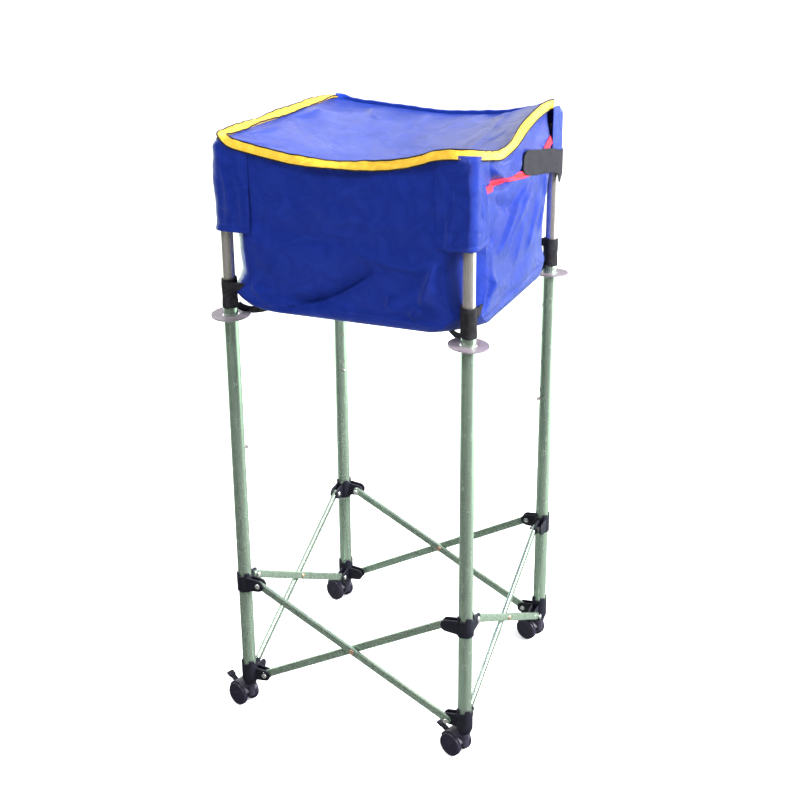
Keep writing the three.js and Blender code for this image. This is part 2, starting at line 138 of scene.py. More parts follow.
def revolved(profile, count=64, closed=False):
    # x = r cos a, y = r sin a, z = height
    radius, height = np.array(profile, float).T[:, :, None]
    angle = np.arange(count) * fullTurn / count
    points = np.stack([radius * np.cos(angle), radius * np.sin(angle), height + 0 * angle], -1)
    return points.reshape(-1, 3), gridFaces(len(profile), count, True, closed)


def slab(outline, low, high, bevel, steps=3):
    # an outline in X and Z with its thickness along Y and rounded edges
    outline = np.array(outline, float)
    count = len(outline)
    edge = unit(np.roll(outline, -1, 0) - outline)
    before = np.roll(edge, 1, 0)
    outward = np.stack([edge[:, 1] + before[:, 1], -edge[:, 0] - before[:, 0]], 1)
    outward /= np.maximum(1 + (edge * before).sum(1), 0.4)[:, None]
    angle = np.linspace(0, quarterTurn, steps + 1)
    inset = bevel * (1 - np.sin(angle))
    rise = bevel * (1 - np.cos(angle))
    insets = np.concatenate([inset, inset[::-1]])
    depths = np.concatenate([low + rise, high - rise[::-1]])
    flat = outline[None] - insets[:, None, None] * outward[None]
    points = np.stack([flat[..., 0], depths[:, None] + 0 * flat[..., 0], flat[..., 1]], -1).reshape(-1, 3)
    last = (len(insets) - 1) * count
    ends = [list(range(count)), list(range(last, last + count))]
    return points, gridFaces(len(insets), count, True) + ends


def arc(middle, radius, start, end, steps):
    angle = np.linspace(start, end, steps + 1)
    return np.stack([middle[0] + radius * np.cos(angle), middle[1] + radius * np.sin(angle)], 1)


def turnedBy(shape, angle, axis="Z"):
    return shape[0] @ np.array(Matrix.Rotation(angle, 3, axis)).T, shape[1]


def shifted(shape, offset):
    return shape[0] + np.array(offset, float), shape[1]


def alongX(shape):
    return turnedBy(shape, quarterTurn, "Y")


def alongY(shape):
    return turnedBy(shape, -quarterTurn, "X")


def atLeg(shape, leg, extra=0.0):
    return shifted(turnedBy(shape, extra + leg * quarterTurn), legAt[leg])


def gridAtLeg(local, leg):
    return atLeg((local.reshape(-1, 3), []), leg)[0].reshape(local.shape)


def swept(path, outward, section):
    # a section of [out, up] points carried along a path with its outward directions, closed at both ends
    up = unit(np.cross(outward, np.gradient(path, axis=0)))
    up *= np.where(up[:, 2:3] < 0, -1, 1)
    section = np.broadcast_to(section, (len(path),) + np.shape(section)[-2:])
    points = path[:, None] + section[..., 0:1] * outward[:, None] + section[..., 1:2] * up[:, None]
    length, count = points.shape[:2]
    ends = [[index * length + end for index in range(count)] for end in (0, length - 1)]
    return points.transpose(1, 0, 2).reshape(-1, 3), gridFaces(count, length, False, True) + ends


def roundSection(halfOut, halfUp, count=12, power=2.6):
    # a superellipse, |x|^p + |y|^p = 1
    angle = np.arange(count) * fullTurn / count
    turns = np.stack([np.cos(angle), np.sin(angle)], 1)
    return np.array([halfOut, halfUp]) * np.sign(turns) * np.abs(turns) ** (2 / power)


def pointsOf(mesh):
    points = np.empty(len(mesh.vertices) * 3)
    mesh.vertices.foreach_get("co", points)
    return points.reshape(-1, 3) / mm


def evaluated(thing):
    return bpy.data.meshes.new_from_object(thing.evaluated_get(bpy.context.evaluated_depsgraph_get()))


def addObject(name, data):
    thing = bpy.data.objects.new(name, data)
    scene.collection.objects.link(thing)
    return thing


def meshFrom(name, shape, uv=None, sharp=35):
    points, faces = shape
    mesh = bpy.data.meshes.new(name)
    mesh.from_pydata((points * mm).tolist(), [], faces)
    if uv is not None:
        order = np.empty(len(mesh.loops), int)
        mesh.loops.foreach_get("vertex_index", order)
        mesh.uv_layers.new(name="cloth").data.foreach_set("uv", (uv[order] * mm).astype(np.float32).ravel())
    work = bmesh.new()
    work.from_mesh(mesh)
    bmesh.ops.remove_doubles(work, verts=work.verts, dist=weldDistance)
    bmesh.ops.recalc_face_normals(work, faces=work.faces)
    work.to_mesh(mesh)
    work.free()
    mesh.shade_smooth()
    mesh.set_sharp_from_angle(angle=math.radians(sharp))
    return mesh


def combined(first, second, operation):
    pair = [addObject("temporary", meshFrom("temporary", shape)) for shape in (first, second)]
    modifier = pair[0].modifiers.new("combine", "BOOLEAN")
    modifier.object = pair[1]
    modifier.operation = operation
    modifier.solver = "EXACT"
    modifier.use_self = True
    mesh = evaluated(pair[0])
    for old in pair:
        bpy.data.meshes.remove(old.data)
    return pointsOf(mesh), [list(polygon.vertices) for polygon in mesh.polygons]


def makePiece(name, shape, material, node=None, body=None, uv=None, sharp=35):
    piece = addObject(name, meshFrom(name, shape, uv, sharp))
    piece.data.materials.append(material)
    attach(piece, body or body_of(nodes[node])[0])
    if node:
        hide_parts(node)
    return piece


def makeLegPiece(leg, kind, shape, material):
    # the piece that replaces a corner's CAD node: leg_tube at front_left makes front_leftLegTube
    name = corners[leg] + kind.title().replace("_", "")
    return makePiece(name, shape, material, corners[leg] + "_" + kind)


# Node trees
def feed(tree, node, values):
    # link a socket, or set a plain value
    for key, value in values.items():
        if isinstance(value, bpy.types.NodeSocket):
            tree.links.new(value, node.inputs[key])
        else:
            node.inputs[key].default_value = value


def addNode(tree, kind, inputs=None, **settings):
    node = tree.nodes.new(kind)
    for key, value in settings.items():
        setattr(node, key, value)
    feed(tree, node, inputs or {})
    return node


def mathNode(tree, operation, *values):
    return addNode(tree, "ShaderNodeMath", dict(enumerate(values)), operation=operation).outputs[0]


def remapped(tree, value, fromLow, fromHigh, low=0.0, high=1.0):
    given = {"Value": value, "From Min": fromLow, "From Max": fromHigh, "To Min": low, "To Max": high}
    return addNode(tree, "ShaderNodeMapRange", given).outputs["Result"]


def noiseAt(tree, place, scale, detail, **more):
    given = {"Vector": place, "Scale": scale, "Detail": detail, **more}
    return addNode(tree, "ShaderNodeTexNoise", given).outputs["Fac"]


def placeIn(tree, coordinate="Object"):
    return addNode(tree, "ShaderNodeTexCoord").outputs[coordinate]


def makeGroup(name, inputs, outputs):
    # each input is a float with its default, or a vector where that is None
    tree = bpy.data.node_groups.new(name, "ShaderNodeTree")
    for socket, value in inputs.items():
        kind = "NodeSocketVector" if value is None else "NodeSocketFloat"
        made = tree.interface.new_socket(socket, in_out="INPUT", socket_type=kind)
        if value is not None:
            made.default_value = value
    for socket in outputs:
        tree.interface.new_socket(socket, in_out="OUTPUT", socket_type="NodeSocketFloat")
    return tree, tree.nodes.new("NodeGroupInput").outputs, tree.nodes.new("NodeGroupOutput")


# Finishes
def makeStreakGroup():
    # long fine streaks along the tube: noise squeezed hard across and stretched along Z
    defaults = {"Scale": 900.0, "Stretch": 0.02, "Smooth": 0.16, "Worn": 0.34}
    tree, given, made = makeGroup("brushedStreaks", defaults, ["Roughness", "Height", "Shade"])
    place = placeIn(tree)
    squeeze = addNode(tree, "ShaderNodeCombineXYZ", {"X": 1.0, "Y": 1.0, "Z": given["Stretch"]}).outputs[0]
    along = addNode(tree, "ShaderNodeVectorMath", {0: place, 1: squeeze}, operation="MULTIPLY").outputs[0]
    fine = noiseAt(tree, along, given["Scale"], 3.0)
    smudge = noiseAt(tree, place, 38.0, 5.0, Roughness=0.6)
    blend = mathNode(tree, "MULTIPLY", fine, smudge)
    feed(tree, made, {
        "Roughness": remapped(tree, blend, 0.12, 0.42, given["Smooth"], given["Worn"]),
        "Height": fine,
        "Shade": remapped(tree, smudge, 0.3, 0.7, 0.86, 1.0),
    })
    return tree


def makeGrainGroup():
    # moulded plastic: fine spark-eroded grain, soft flow marks, and dust on faces that look up
    defaults = {"Grain": 2600.0, "Dust": 0.25}
    tree, given, made = makeGroup("mouldGrain", defaults, ["Roughness", "Height", "Dust"])
    place = placeIn(tree)
    grain = addNode(tree, "ShaderNodeTexVoronoi", {"Vector": place, "Scale": given["Grain"]})
    flow = noiseAt(tree, place, 70.0, 4.0, Distortion=0.6)
    normal = addNode(tree, "ShaderNodeNewGeometry").outputs["Normal"]
    upward = remapped(tree, addNode(tree, "ShaderNodeSeparateXYZ", {0: normal}).outputs["Z"], 0.3, 1.0)
    settled = mathNode(tree, "MULTIPLY", upward, flow)
    feed(tree, made, {
        "Roughness": remapped(tree, flow, 0.3, 0.7, 0.36, 0.56),
        "Height": grain.outputs["Distance"],
        "Dust": mathNode(tree, "MULTIPLY", settled, given["Dust"]),
    })
    return tree


def makeWeaveGroup():
    # a plain weave of two crossed waves, and crumples: the noise's distance from its middle, to the power
    # 0.7; Shade is painted shade, lowest along the crumples' creases
    defaults = {"Vector": None, "Threads": 1500.0, "Crumple": 26.0, "Weave Share": 0.12}
    tree, given, made = makeGroup("clothWeave", defaults, ["Height", "Roughness", "Shade"])
    threads = {"Vector": given["Vector"], "Scale": given["Threads"], "Distortion": 0.4}
    waves = [addNode(tree, "ShaderNodeTexWave", threads, bands_direction=axis) for axis in "XY"]
    warp, weft = [wave.outputs["Fac"] for wave in waves]
    folds = noiseAt(tree, given["Vector"], given["Crumple"], 3.0, Roughness=0.45, Distortion=0.8)
    crest = mathNode(tree, "ABSOLUTE", mathNode(tree, "SUBTRACT", folds, 0.5))
    sharp = mathNode(tree, "POWER", crest, 0.7)
    weave = mathNode(tree, "MULTIPLY", mathNode(tree, "MAXIMUM", warp, weft), given["Weave Share"])
    feed(tree, made, {
        "Height": mathNode(tree, "ADD", sharp, weave),
        "Roughness": remapped(tree, folds, 0.3, 0.7, 0.38, 0.52),
        "Shade": remapped(tree, sharp, 0.0, 0.3),
    })
    return tree


streakGroup = makeStreakGroup()
grainGroup = makeGrainGroup()
weaveGroup = makeWeaveGroup()


def startMaterial(name, group=None):
    material = bpy.data.materials.new(name)
    material.use_nodes = True
    tree = material.node_tree
    pattern = addNode(tree, "ShaderNodeGroup", node_tree=group) if group else None
    return material, tree, tree.nodes["Principled BSDF"], pattern


def bumped(tree, height, strength, distance=0.0002):
    given = {"Height": height, "Strength": strength, "Distance": distance}
    return addNode(tree, "ShaderNodeBump", given).outputs["Normal"]


def tinted(tree, factor, first, second):
    node = addNode(tree, "ShaderNodeMix", data_type="RGBA")
    sockets = {socket.name: socket for socket in node.inputs if socket.enabled}
    tree.links.new(factor, sockets["Factor"])
    sockets["A"].default_value = (*first, 1)
    sockets["B"].default_value = (*second, 1)
    return [socket for socket in node.outputs if socket.enabled][0]


def metalMaterial(name, color, dark, smooth, worn, stretch=0.02):
    material, tree, shader, streaks = startMaterial(name, streakGroup)
    feed(tree, streaks, {"Smooth": smooth, "Worn": worn, "Stretch": stretch})
    feed(tree, shader, {
        "Base Color": tinted(tree, streaks.outputs["Shade"], dark, color),
        "Roughness": streaks.outputs["Roughness"],
        "Metallic": 0.8,
        "Normal": bumped(tree, streaks.outputs["Height"], 0.05),
    })
    return material


def mouldingMaterial(name, color, dust):
    material, tree, shader, grain = startMaterial(name, grainGroup)
    feed(tree, shader, {
        "Base Color": tinted(tree, grain.outputs["Dust"], color, dust),
        "Roughness": grain.outputs["Roughness"],
        "Specular IOR Level": 0.3,
        "Normal": bumped(tree, grain.outputs["Height"], 0.12),
    })
    return material


def clothMaterial(
    name, color, light, gloss=0.0, rough=None, crumple=26.0, bump=0.5,
    threads=1500.0, weave=0.12, coordinate="Object",
):
    material, tree, shader, cloth = startMaterial(name, weaveGroup)
    place = placeIn(tree, coordinate)
    feed(tree, cloth, {"Vector": place, "Crumple": crumple, "Threads": threads, "Weave Share": weave})
    normal = bumped(tree, cloth.outputs["Height"], bump, 0.004)
    feed(tree, shader, {
        # painted shade: the base colour is the first colour along the crumples' creases and the lighter
        # second colour away from them
        "Base Color": tinted(tree, cloth.outputs["Shade"], color, light),
        "Roughness": cloth.outputs["Roughness"] if rough is None else rough,
        "Specular IOR Level": 0.12,
        "Normal": normal,
    })
    if gloss > 0:
        # the coated nylon shines at grazing angles
        facing = addNode(tree, "ShaderNodeLayerWeight", {"Blend": 0.5}).outputs["Facing"]
        coat = remapped(tree, facing, 0.22, 0.7, 0.0, gloss)
        feed(tree, shader, {"Coat Weight": coat, "Coat Normal": normal, "Coat Roughness": 0.24})
    return material


def discMaterial():
    material, tree, shader, grain = startMaterial("clearDisc", grainGroup)
    feed(tree, shader, {
        "Base Color": (0.40, 0.33, 0.40, 1),
        "Roughness": grain.outputs["Roughness"],
        "Transmission Weight": 0.75,
        "IOR": 1.45,
        "Normal": bumped(tree, grain.outputs["Height"], 0.05),
    })
    return material


# the green tint of the leg tubes and bars, in both colours, is a painted green reflection of the surroundings
# on grey steel
steelPaintedGreen = metalMaterial("polishedSteelPaintedGreen", (0.44, 0.56, 0.45), (0.28, 0.39, 0.29), 0.14, 0.30)
barSteelPaintedGreen = metalMaterial("barSteelPaintedGreen", (0.37, 0.48, 0.38), (0.29, 0.39, 0.30), 0.20, 0.36, 1.0)
# the pinkish warm tint of the masts and snap buttons, in both colours, is a painted reflection of the
# surroundings on chrome
chromedPaintedWarm = metalMaterial("chromedMastPaintedWarm", (0.66, 0.60, 0.57), (0.50, 0.44, 0.42), 0.06, 0.18)
silver = metalMaterial("silverRivet", (0.70, 0.70, 0.68), (0.48, 0.48, 0.47), 0.22, 0.36, 1.0)
copper = metalMaterial("copperyRivet", (0.62, 0.40, 0.28), (0.40, 0.25, 0.17), 0.24, 0.40, 1.0)
blackMould = mouldingMaterial("blackMoulding", (0.007, 0.007, 0.014), (0.04, 0.04, 0.06))
wheelMould = mouldingMaterial("wheelPlastic", (0.013, 0.011, 0.024), (0.06, 0.055, 0.08))
hoodMould = mouldingMaterial("hoodPlastic", (0.024, 0.021, 0.036), (0.18, 0.17, 0.22))
clearDisc = discMaterial()
print("metal and moulding finishes made")

# each cloth's first colour is painted shade for its crumples' creases, and the second is its tone away from
# them
coated = {"bump": 0.9, "coordinate": "UV"}
blueCloth = clothMaterial("blueCloth", (0.005, 0.022, 0.235), (0.008, 0.030, 0.29), 1.0, **coated)
# the lid's cloth is the walls' blue cloth with both colours painted lighter: painted light from the lamps
# over the lid
lidClothPaintedLighter = clothMaterial("lidClothPaintedLighter", (0.009, 0.032, 0.27), (0.013, 0.042, 0.33), 0.7, **coated)
yellowTape = clothMaterial("yellowTrim", (0.62, 0.36, 0.03), (0.72, 0.46, 0.045), 0.4, 0.5, 60.0, 0.4)
redTape = clothMaterial("redPiping", (0.55, 0.012, 0.014), (0.65, 0.02, 0.02), 0.0, 0.5, 60.0, 0.3)
darkTape = clothMaterial("darkTape", (0.010, 0.010, 0.014), (0.02, 0.02, 0.026), 0.0, 0.7, 60.0, 0.3)
blackWeb = clothMaterial(
    "blackWebbing", (0.010, 0.010, 0.012), (0.022, 0.022, 0.026), 0.0, 0.8, 60.0, 0.5, 700.0, 0.5
)
hookTape = clothMaterial("hookAndLoop", (0.012, 0.012, 0.016), (0.030, 0.030, 0.036), 0.0, 0.9, 400.0, 0.6)
blueThread = clothMaterial("blueThread", (0.03, 0.06, 0.45), (0.04, 0.08, 0.5), 0.0, 0.6)
yellowThread = clothMaterial("yellowThread", (0.75, 0.5, 0.05), (0.85, 0.6, 0.08), 0.0, 0.6)
print("cloth finishes made")

# Leg tubes, masts and snap buttons
tubeSize = {"radius": 11, "bore": 9.8, "low": 56.3, "top": 708, "rolled": 0.5, "holeRadius": 2.9,
            "holes": [474, 491, 541, 591, 641]}
mastSize = {"radius": 9.5, "bore": 8.5, "low": 440, "top": 941, "rolled": 0.4}  # top hidden in the sleeve
buttonSize = {"radius": 2.6, "start": 4.5, "tip": 17, "height": 474, "flange": 4.4, "flangeEnd": 7}


def makeTube(size):
    bore, radius, low, top = size["bore"], size["radius"], size["low"], size["top"]
    wall = [(bore, low), (radius, low), (radius, top), (bore, top)]
    return revolved(softened(wall, size["rolled"], 3, True), 72, True)


def makeRod(radius, low, high, bevel=0.01, count=24):
    edge = radius - bevel
    profile = [(0, low), (edge, low), (radius, low + bevel), (radius, high - bevel), (edge, high), (0, high)]
    return revolved(profile, count)


def makeButton():
    radius, start, tip = buttonSize["radius"], buttonSize["start"], buttonSize["tip"]
    flange, end = buttonSize["flange"], buttonSize["flangeEnd"]
    profile = [(0, start), (flange, start), (flange, end), (radius, end), (radius, tip), (0, tip)]
    return shifted(alongX(revolved(softened(profile, 1.1, 4), 32)), (0, 0, buttonSize["height"]))


holeCutter = alongX(makeRod(tubeSize["holeRadius"], 4, 16))
holeCutters = joined(*[shifted(holeCutter, (0, 0, height)) for height in tubeSize["holes"]])
legTubeShape = combined(makeTube(tubeSize), holeCutters, "DIFFERENCE")
mastShape = makeTube(mastSize)
buttonShape = makeButton()
inward = quarterTurn / 2  # the holes look to the cart's middle
for leg in range(4):
    makeLegPiece(leg, "leg_tube", atLeg(legTubeShape, leg, inward), steelPaintedGreen)
    makeLegPiece(leg, "mast", atLeg(mastShape, leg, inward), chromedPaintedWarm)
    makeLegPiece(leg, "snap_button", atLeg(buttonShape, leg, inward), chromedPaintedWarm)
print("tubes, masts and buttons made")

# Sockets and sliding collars: a barrel with a scalloped crown and two clevises
socketSize = {"low": 44, "neck": 9.6, "neckTop": 54, "stem": 5.3, "radius": 13.2, "bore": 11.25, "seat": 56,
              "top": 84, "pivot": 64, "sign": 1}
collarSize = {"low": 222, "radius": 13.2, "bore": 11.4, "top": 250, "pivot": 237, "sign": -1}
fingers = {"height": 6, "count": 4, "sharpness": 1.7, "root": 0.9}
cheeks = {"root": 8, "inset": 28, "rootHalf": 12, "endRadius": 10, "thickness": 3, "slotHalf": 3.8,
          "offset": 4, "bevel": 0.9}


def makeBarrel(profile, top):
    # the crown rises to four fingers: height x clamp(0.5 + sharpness cos 4(a - 45 degrees))
    points, faces = revolved(profile, 96, True)
    angle = np.arctan2(points[:, 1], points[:, 0]) - quarterTurn / 2
    crown = fingers["height"] * np.clip(0.5 + fingers["sharpness"] * np.cos(fingers["count"] * angle), 0, 1)
    points[:, 2] += np.where(points[:, 2] > top - fingers["root"], crown, 0)
    return points, faces


def makeCheeks(size):
    # a clevis for the bar along X, and the same with X and Y swapped for the bar along Y
    root, rootHalf, thickness = cheeks["root"], cheeks["rootHalf"], cheeks["thickness"]
    end = arc((cheeks["inset"], 0), cheeks["endRadius"], -quarterTurn, quarterTurn, 16)
    outline = np.concatenate([[(root, -rootHalf)], end, [(root, rootHalf)]])
    middle = size["sign"] * cheeks["offset"]
    shapes = []
    for axes in ([0, 1, 2], [1, 0, 2]):
        for low in (middle - cheeks["slotHalf"] - thickness, middle + cheeks["slotHalf"]):
            cheek = slab(outline, low, low + thickness, cheeks["bevel"])
            points, faces = shifted(cheek, (0, 0, size["pivot"]))
            shapes.append((points[:, axes], faces))
    return joined(*shapes)


def makeHolder(size):
    low, radius, bore, top = size["low"], size["radius"], size["bore"], size["top"]
    if "neck" in size:
        neck, stem, seat = size["neck"], size["stem"], size["seat"]
        profile = [(stem, low), (neck, low), (radius, size["neckTop"]), (radius, top), (bore, top),
                   (bore, seat), (stem, seat)]
    else:
        profile = [(bore, low), (radius, low), (radius, top), (bore, top)]
    core = makeRod(bore, low - 1, top + fingers["height"] + 1)
    barrel = makeBarrel(softened(profile, 0.7, 3, True), top)
    return joined(barrel, combined(makeCheeks(size), core, "DIFFERENCE"))


socketShape = makeHolder(socketSize)
collarShape = makeHolder(collarSize)
for leg in range(4):
    makeLegPiece(leg, "caster_socket", atLeg(socketShape, leg), blackMould)
    makeLegPiece(leg, "sliding_collar", atLeg(collarShape, leg), blackMould)
print("sockets and collars made")

# Cross bars with their end rivets, and the crossing rivets
barSize = {"height": 13, "thickness": 7, "bevel": 2.7, "offset": 4}
rivetSize = {"shank": 2.5, "head": 4.4, "rise": 1.9, "grip": 7.1, "crossing": 7.8}
barSpan = legSpacing - 2 * cheeks["inset"]
barRise = collarSize["pivot"] - socketSize["pivot"]
barLength = math.hypot(barSpan, barRise)
barAngle = math.atan2(barRise, barSpan)
crossingHeight = (collarSize["pivot"] + socketSize["pivot"]) / 2


def makeRivet(grip):
    shank, head, rise = rivetSize["shank"], rivetSize["head"], rivetSize["rise"]
    half = [(shank, 0), (shank, grip), (head, grip), (head, grip + rise * 0.3),
            (head * 0.72, grip + rise * 0.85), (0, grip + rise)]
    half = softened(half, 0.7, 3)
    return alongY(revolved(np.concatenate([half[::-1] * np.array([1, -1]), half[1:]]), 32))


def makeBar():
    half, radius, reach = barSize["thickness"] / 2, barSize["height"] / 2, barLength / 2
    right = arc((reach, 0), radius, -quarterTurn, quarterTurn, 20)
    left = arc((-reach, 0), radius, quarterTurn, 3 * quarterTurn, 20)
    return slab(np.concatenate([right, left]), -half, half, barSize["bevel"], 5)


barShape = makeBar()
endRivet = makeRivet(rivetSize["grip"])
rivetPair = joined(*[shifted(endRivet, (end * barLength / 2, 0, 0)) for end in (-1, 1)])
crossingShape = makeRivet(rivetSize["crossing"])
for leg, side in enumerate(sides):
    for kind, way in (("inner", 1), ("outer", -1)):
        place = (halfSpacing, way * barSize["offset"], crossingHeight)
        tilted = [turnedBy(shape, -way * barAngle, "Y") for shape in (barShape, rivetPair)]
        bar, rivets = [atLeg(shifted(shape, place), leg) for shape in tilted]
        node = side + "_" + kind + "_bar"
        name = side + kind.capitalize()
        makePiece(name + "Bar", bar, barSteelPaintedGreen, node)
        makePiece(name + "EndRivets", rivets, silver, body=body_of(nodes[node])[0])
    rivet = atLeg(shifted(crossingShape, (halfSpacing, 0, crossingHeight)), leg)
    makePiece(side + "CrossingRivet", rivet, copper, side + "_crossing_rivet")
print("bars and rivets made")

# Casters: housing, twin wheels and the brake levers of the front pair
casterSize = {"heading": math.radians(160), "trail": 18, "axleHeight": 20, "stem": 5, "stemTop": 55,
              "top": 43.4, "neck": 7.2, "flare": 9.4, "webRadius": 15, "hoodInner": 20.7,
              "hoodOuter": 22.5, "hoodHalf": 13.5, "hoodStart": math.radians(24),
              "hoodEnd": math.radians(158), "axle": 2.5, "axleReach": 15.4,
              "pocket": [(28.5, 26.5), (60, 26.5), (60, 43), (28.5, 43)]}
wheelSize = {"radius": 20, "inner": 7.8, "outer": 17.5, "rim": 3.4, "step": 0.8, "bore": 2.8, "cap": 1.8}
leverSize = {"x": 32, "z": 30, "hub": 3, "half": 5, "pin": 1.5, "pinReach": 7.2, "reach": 25,
             "thickness": 2.6, "padLength": 10, "padHalf": 6.4, "angle": math.radians(28), "ribs": 4,
             "rib": 0.45}


def atCaster(shape, leg):
    return shifted(turnedBy(shape, casterSize["heading"]), legAt[leg])


def makeHousing(braked):
    size = casterSize
    trail, axleHeight, top = size["trail"], size["axleHeight"], size["top"]
    neck, stem, flare = size["neck"], size["stem"], size["flare"]
    middle, outer, start, end = (trail, axleHeight), size["hoodOuter"], size["hoodStart"], size["hoodEnd"]
    inner = arc(middle, size["hoodInner"], end, start, 40)
    hood = np.concatenate([arc(middle, outer, start, end, 40), inner])
    under = arc(middle, size["webRadius"], end, start + fullTurn, 40)
    web = np.concatenate([arc(middle, outer - 0.6, start, end, 40), under])
    boss = [(0, axleHeight), (neck, axleHeight), (neck, top - 6.8), (flare, top - 3.4), (flare, top),
            (stem, top), (stem, size["stemTop"]), (0, size["stemTop"])]
    body = combined(slab(web, -neck, neck, 0.5), revolved(softened(boss, 0.8, 3), 48), "UNION")
    body = combined(body, slab(hood, -size["hoodHalf"], size["hoodHalf"], 0.7), "UNION")
    if braked:
        half = leverSize["half"] + 0.5
        body = combined(body, slab(size["pocket"], -half, half, 0.2), "DIFFERENCE")
    axle = alongY(makeRod(size["axle"], -size["axleReach"], size["axleReach"], 0.3))
    return joined(body, shifted(axle, (trail, 0, axleHeight)))


def makeWheel():
    radius, bore = wheelSize["radius"], wheelSize["bore"]
    inner, outer = wheelSize["inner"], wheelSize["outer"]
    rim = radius - wheelSize["rim"]
    face = outer - wheelSize["step"]
    cap = outer - wheelSize["cap"]
    profile = [(0, cap), (bore, cap), (bore, inner), (radius - 5, inner), (radius - 1, inner + 1),
               (radius, inner + 2.4), (radius, outer - 2.6), (radius - 0.9, outer - 0.7),
               (radius - 1.9, outer), (rim + 0.4, outer), (rim, face), (5.4, face - 0.5),
               (5.0, face + 0.35), (3.4, face + 0.6), (0, face + 0.6)]
    wheel = alongY(revolved(softened(profile, 0.6, 3), 72))
    return shifted(wheel, (casterSize["trail"], 0, casterSize["axleHeight"]))


def makePlate(start, end, low, high, half, radius, bevel):
    outline = softened([(start, low), (end, low), (end, high), (start, high)], radius, 3, True)
    return slab(outline, -half, half, bevel)


def makeLever():
    size = leverSize
    reach, thickness, half, padHalf = size["reach"], size["thickness"], size["half"], size["padHalf"]
    hub = alongY(makeRod(size["hub"], -half, half, 0.4, 32))
    pin = alongY(makeRod(size["pin"], -size["pinReach"], size["pinReach"], 0.2))
    start = reach - size["padLength"]
    arm = makePlate(0, reach, -thickness / 2, thickness / 2, half, 1.0, 0.6)
    pad = makePlate(start, reach, -thickness / 2, thickness, padHalf, 1.2, 0.8)
    ribs = []
    for rib in range(size["ribs"]):
        place = start + (rib + 0.7) * size["padLength"] / (size["ribs"] + 0.4)
        bead = alongY(makeRod(size["rib"], -padHalf + 1, padHalf - 1, 0.2, 12))
        ribs.append(shifted(bead, (place, 0, thickness)))
    lever = joined(hub, pin, turnedBy(joined(arm, pad, *ribs), -size["angle"], "Y"))
    return shifted(lever, (size["x"], 0, size["z"]))


housings = {braked: makeHousing(braked) for braked in (True, False)}
wheelShape = makeWheel()
rearShape = (wheelShape[0] * np.array([1, -1, 1]), wheelShape[1])
leverShape = makeLever()
for leg in range(4):
    braked = leg < 2
    makeLegPiece(leg, "caster_housing", atCaster(housings[braked], leg), hoodMould)
    makeLegPiece(leg, "wheel_front", atCaster(wheelShape, leg), wheelMould)
    makeLegPiece(leg, "wheel_rear", atCaster(rearShape, leg), wheelMould)
    if braked:
        makeLegPiece(leg, "brake_lever", atCaster(leverShape, leg), blackMould)
print("casters made")

# The bag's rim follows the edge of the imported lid, read as a grid and moved to the photographed rim
lidSteps = 8
rimLift = {
    "front": [-2.5, -7, -6, -2.5, 0, -0.4, 0, -1.6, -0.5],
    "right": [-0.5, 3, 2.5, 8, 17, 16, 7, -1, -1.5],
    "back": [-4.5, -11.5, -13.5, -15.5, -17, -16, -15, -10, -1.5],
    "left": [-2.5, -4, -4.3, -4.6, -5, -5.3, -5.6, -6, -4.5],
}
lidPoints = pointsOf(nodes["bag_lid"].data)
lidPoints[:, 0] -= cartMiddle[0]
bagHalf = lidPoints[:, 0].max()
lidGrid = np.zeros((lidSteps + 1, lidSteps + 1))
for row, column in np.ndindex(lidGrid.shape):
    place = bagHalf * (2 * np.array([column, row]) / lidSteps - 1)
    near = np.abs(lidPoints[:, :2] - place).max(1) < 1
    lidGrid[row, column] = lidPoints[near, 2].min()
rising = np.linspace(0, 1, lidSteps + 1) ** 2
falling = rising[::-1]
lidGrid += np.outer(falling, rimLift["front"]) + np.outer(rising, rimLift["back"])
lidGrid += np.outer(rimLift["left"], falling) + np.outer(rimLift["right"], rising)
# Waves are given as their count, shortest and longest length, and height
sleeve = {"radius": 11.2, "reach": 47, "rows": 60, "columns": 72, "cloth": 0.9, "sewn": 12, "loose": 1.1,
          "off": 0.5, "low": [829, 836, 870, 830], "ease": [1.0, 1.0, 0.25, 1.0], "waves": (8, 20, 80, 0.9),
          "creases": 7, "creaseTop": (870, 965), "creaseFall": (50, 100), "creaseSway": 16,
          "creaseWidth": (3, 6), "creaseDepth": (1.2, 2.6), "creaseWider": 0.4, "hemRoll": 0.9,
          "stitched": 9, "stitchSink": 0.5, "gather": 6.5, "gatherFrom": (955, 966), "gatherHalf": 16}
bag = {"proud": bagHalf - halfSpacing, "rim": 966, "sleeveLow": 830, "wallLow": 770, "floor": 707.4,
       "fillet": 14, "rows": 84, "columns": 96, "corner": 14, "cloth": 0.9, "sagLow": 700, "sagHeight": 270,
       "seam": 724, "seamWave": 4, "bead": 1.5, "beadHalf": 2.2, "groove": 1.2, "grooveUp": 6,
       "grooveHalf": 4, "rimFade": 26, "calm": 0.25, "calmFrom": (826, 840), "clear": (30, 52),
       "waves": (12, 46, 170, 1.5), "floorRows": 12, "floorWaves": (6, 120, 260, 1.0), "floorRise": 0.48}
lean = {"by": 10, "x": (60, 200), "y": (-60, 170), "z": (905, 970)}


def cubicWeights(share, count):
    # Catmull-Rom weights of count samples at shares from 0 to 1
    place = np.clip(share, 0, 1) * (count - 1)
    first = np.clip(np.floor(place).astype(int), 0, count - 2)
    t = place - first
    parts = [(-t + 2 * t**2 - t**3) / 2, (2 - 5 * t**2 + 3 * t**3) / 2, (t + 4 * t**2 - 3 * t**3) / 2,
             (-(t**2) + t**3) / 2]
    weights = np.zeros(np.shape(share) + (count,))
    flat = weights.reshape(-1, count)
    rows = np.arange(flat.shape[0])
    for offset, part in enumerate(parts):
        column = np.clip(first + offset - 1, 0, count - 1).ravel()
        np.add.at(flat, (rows, column), part.ravel())
    return weights


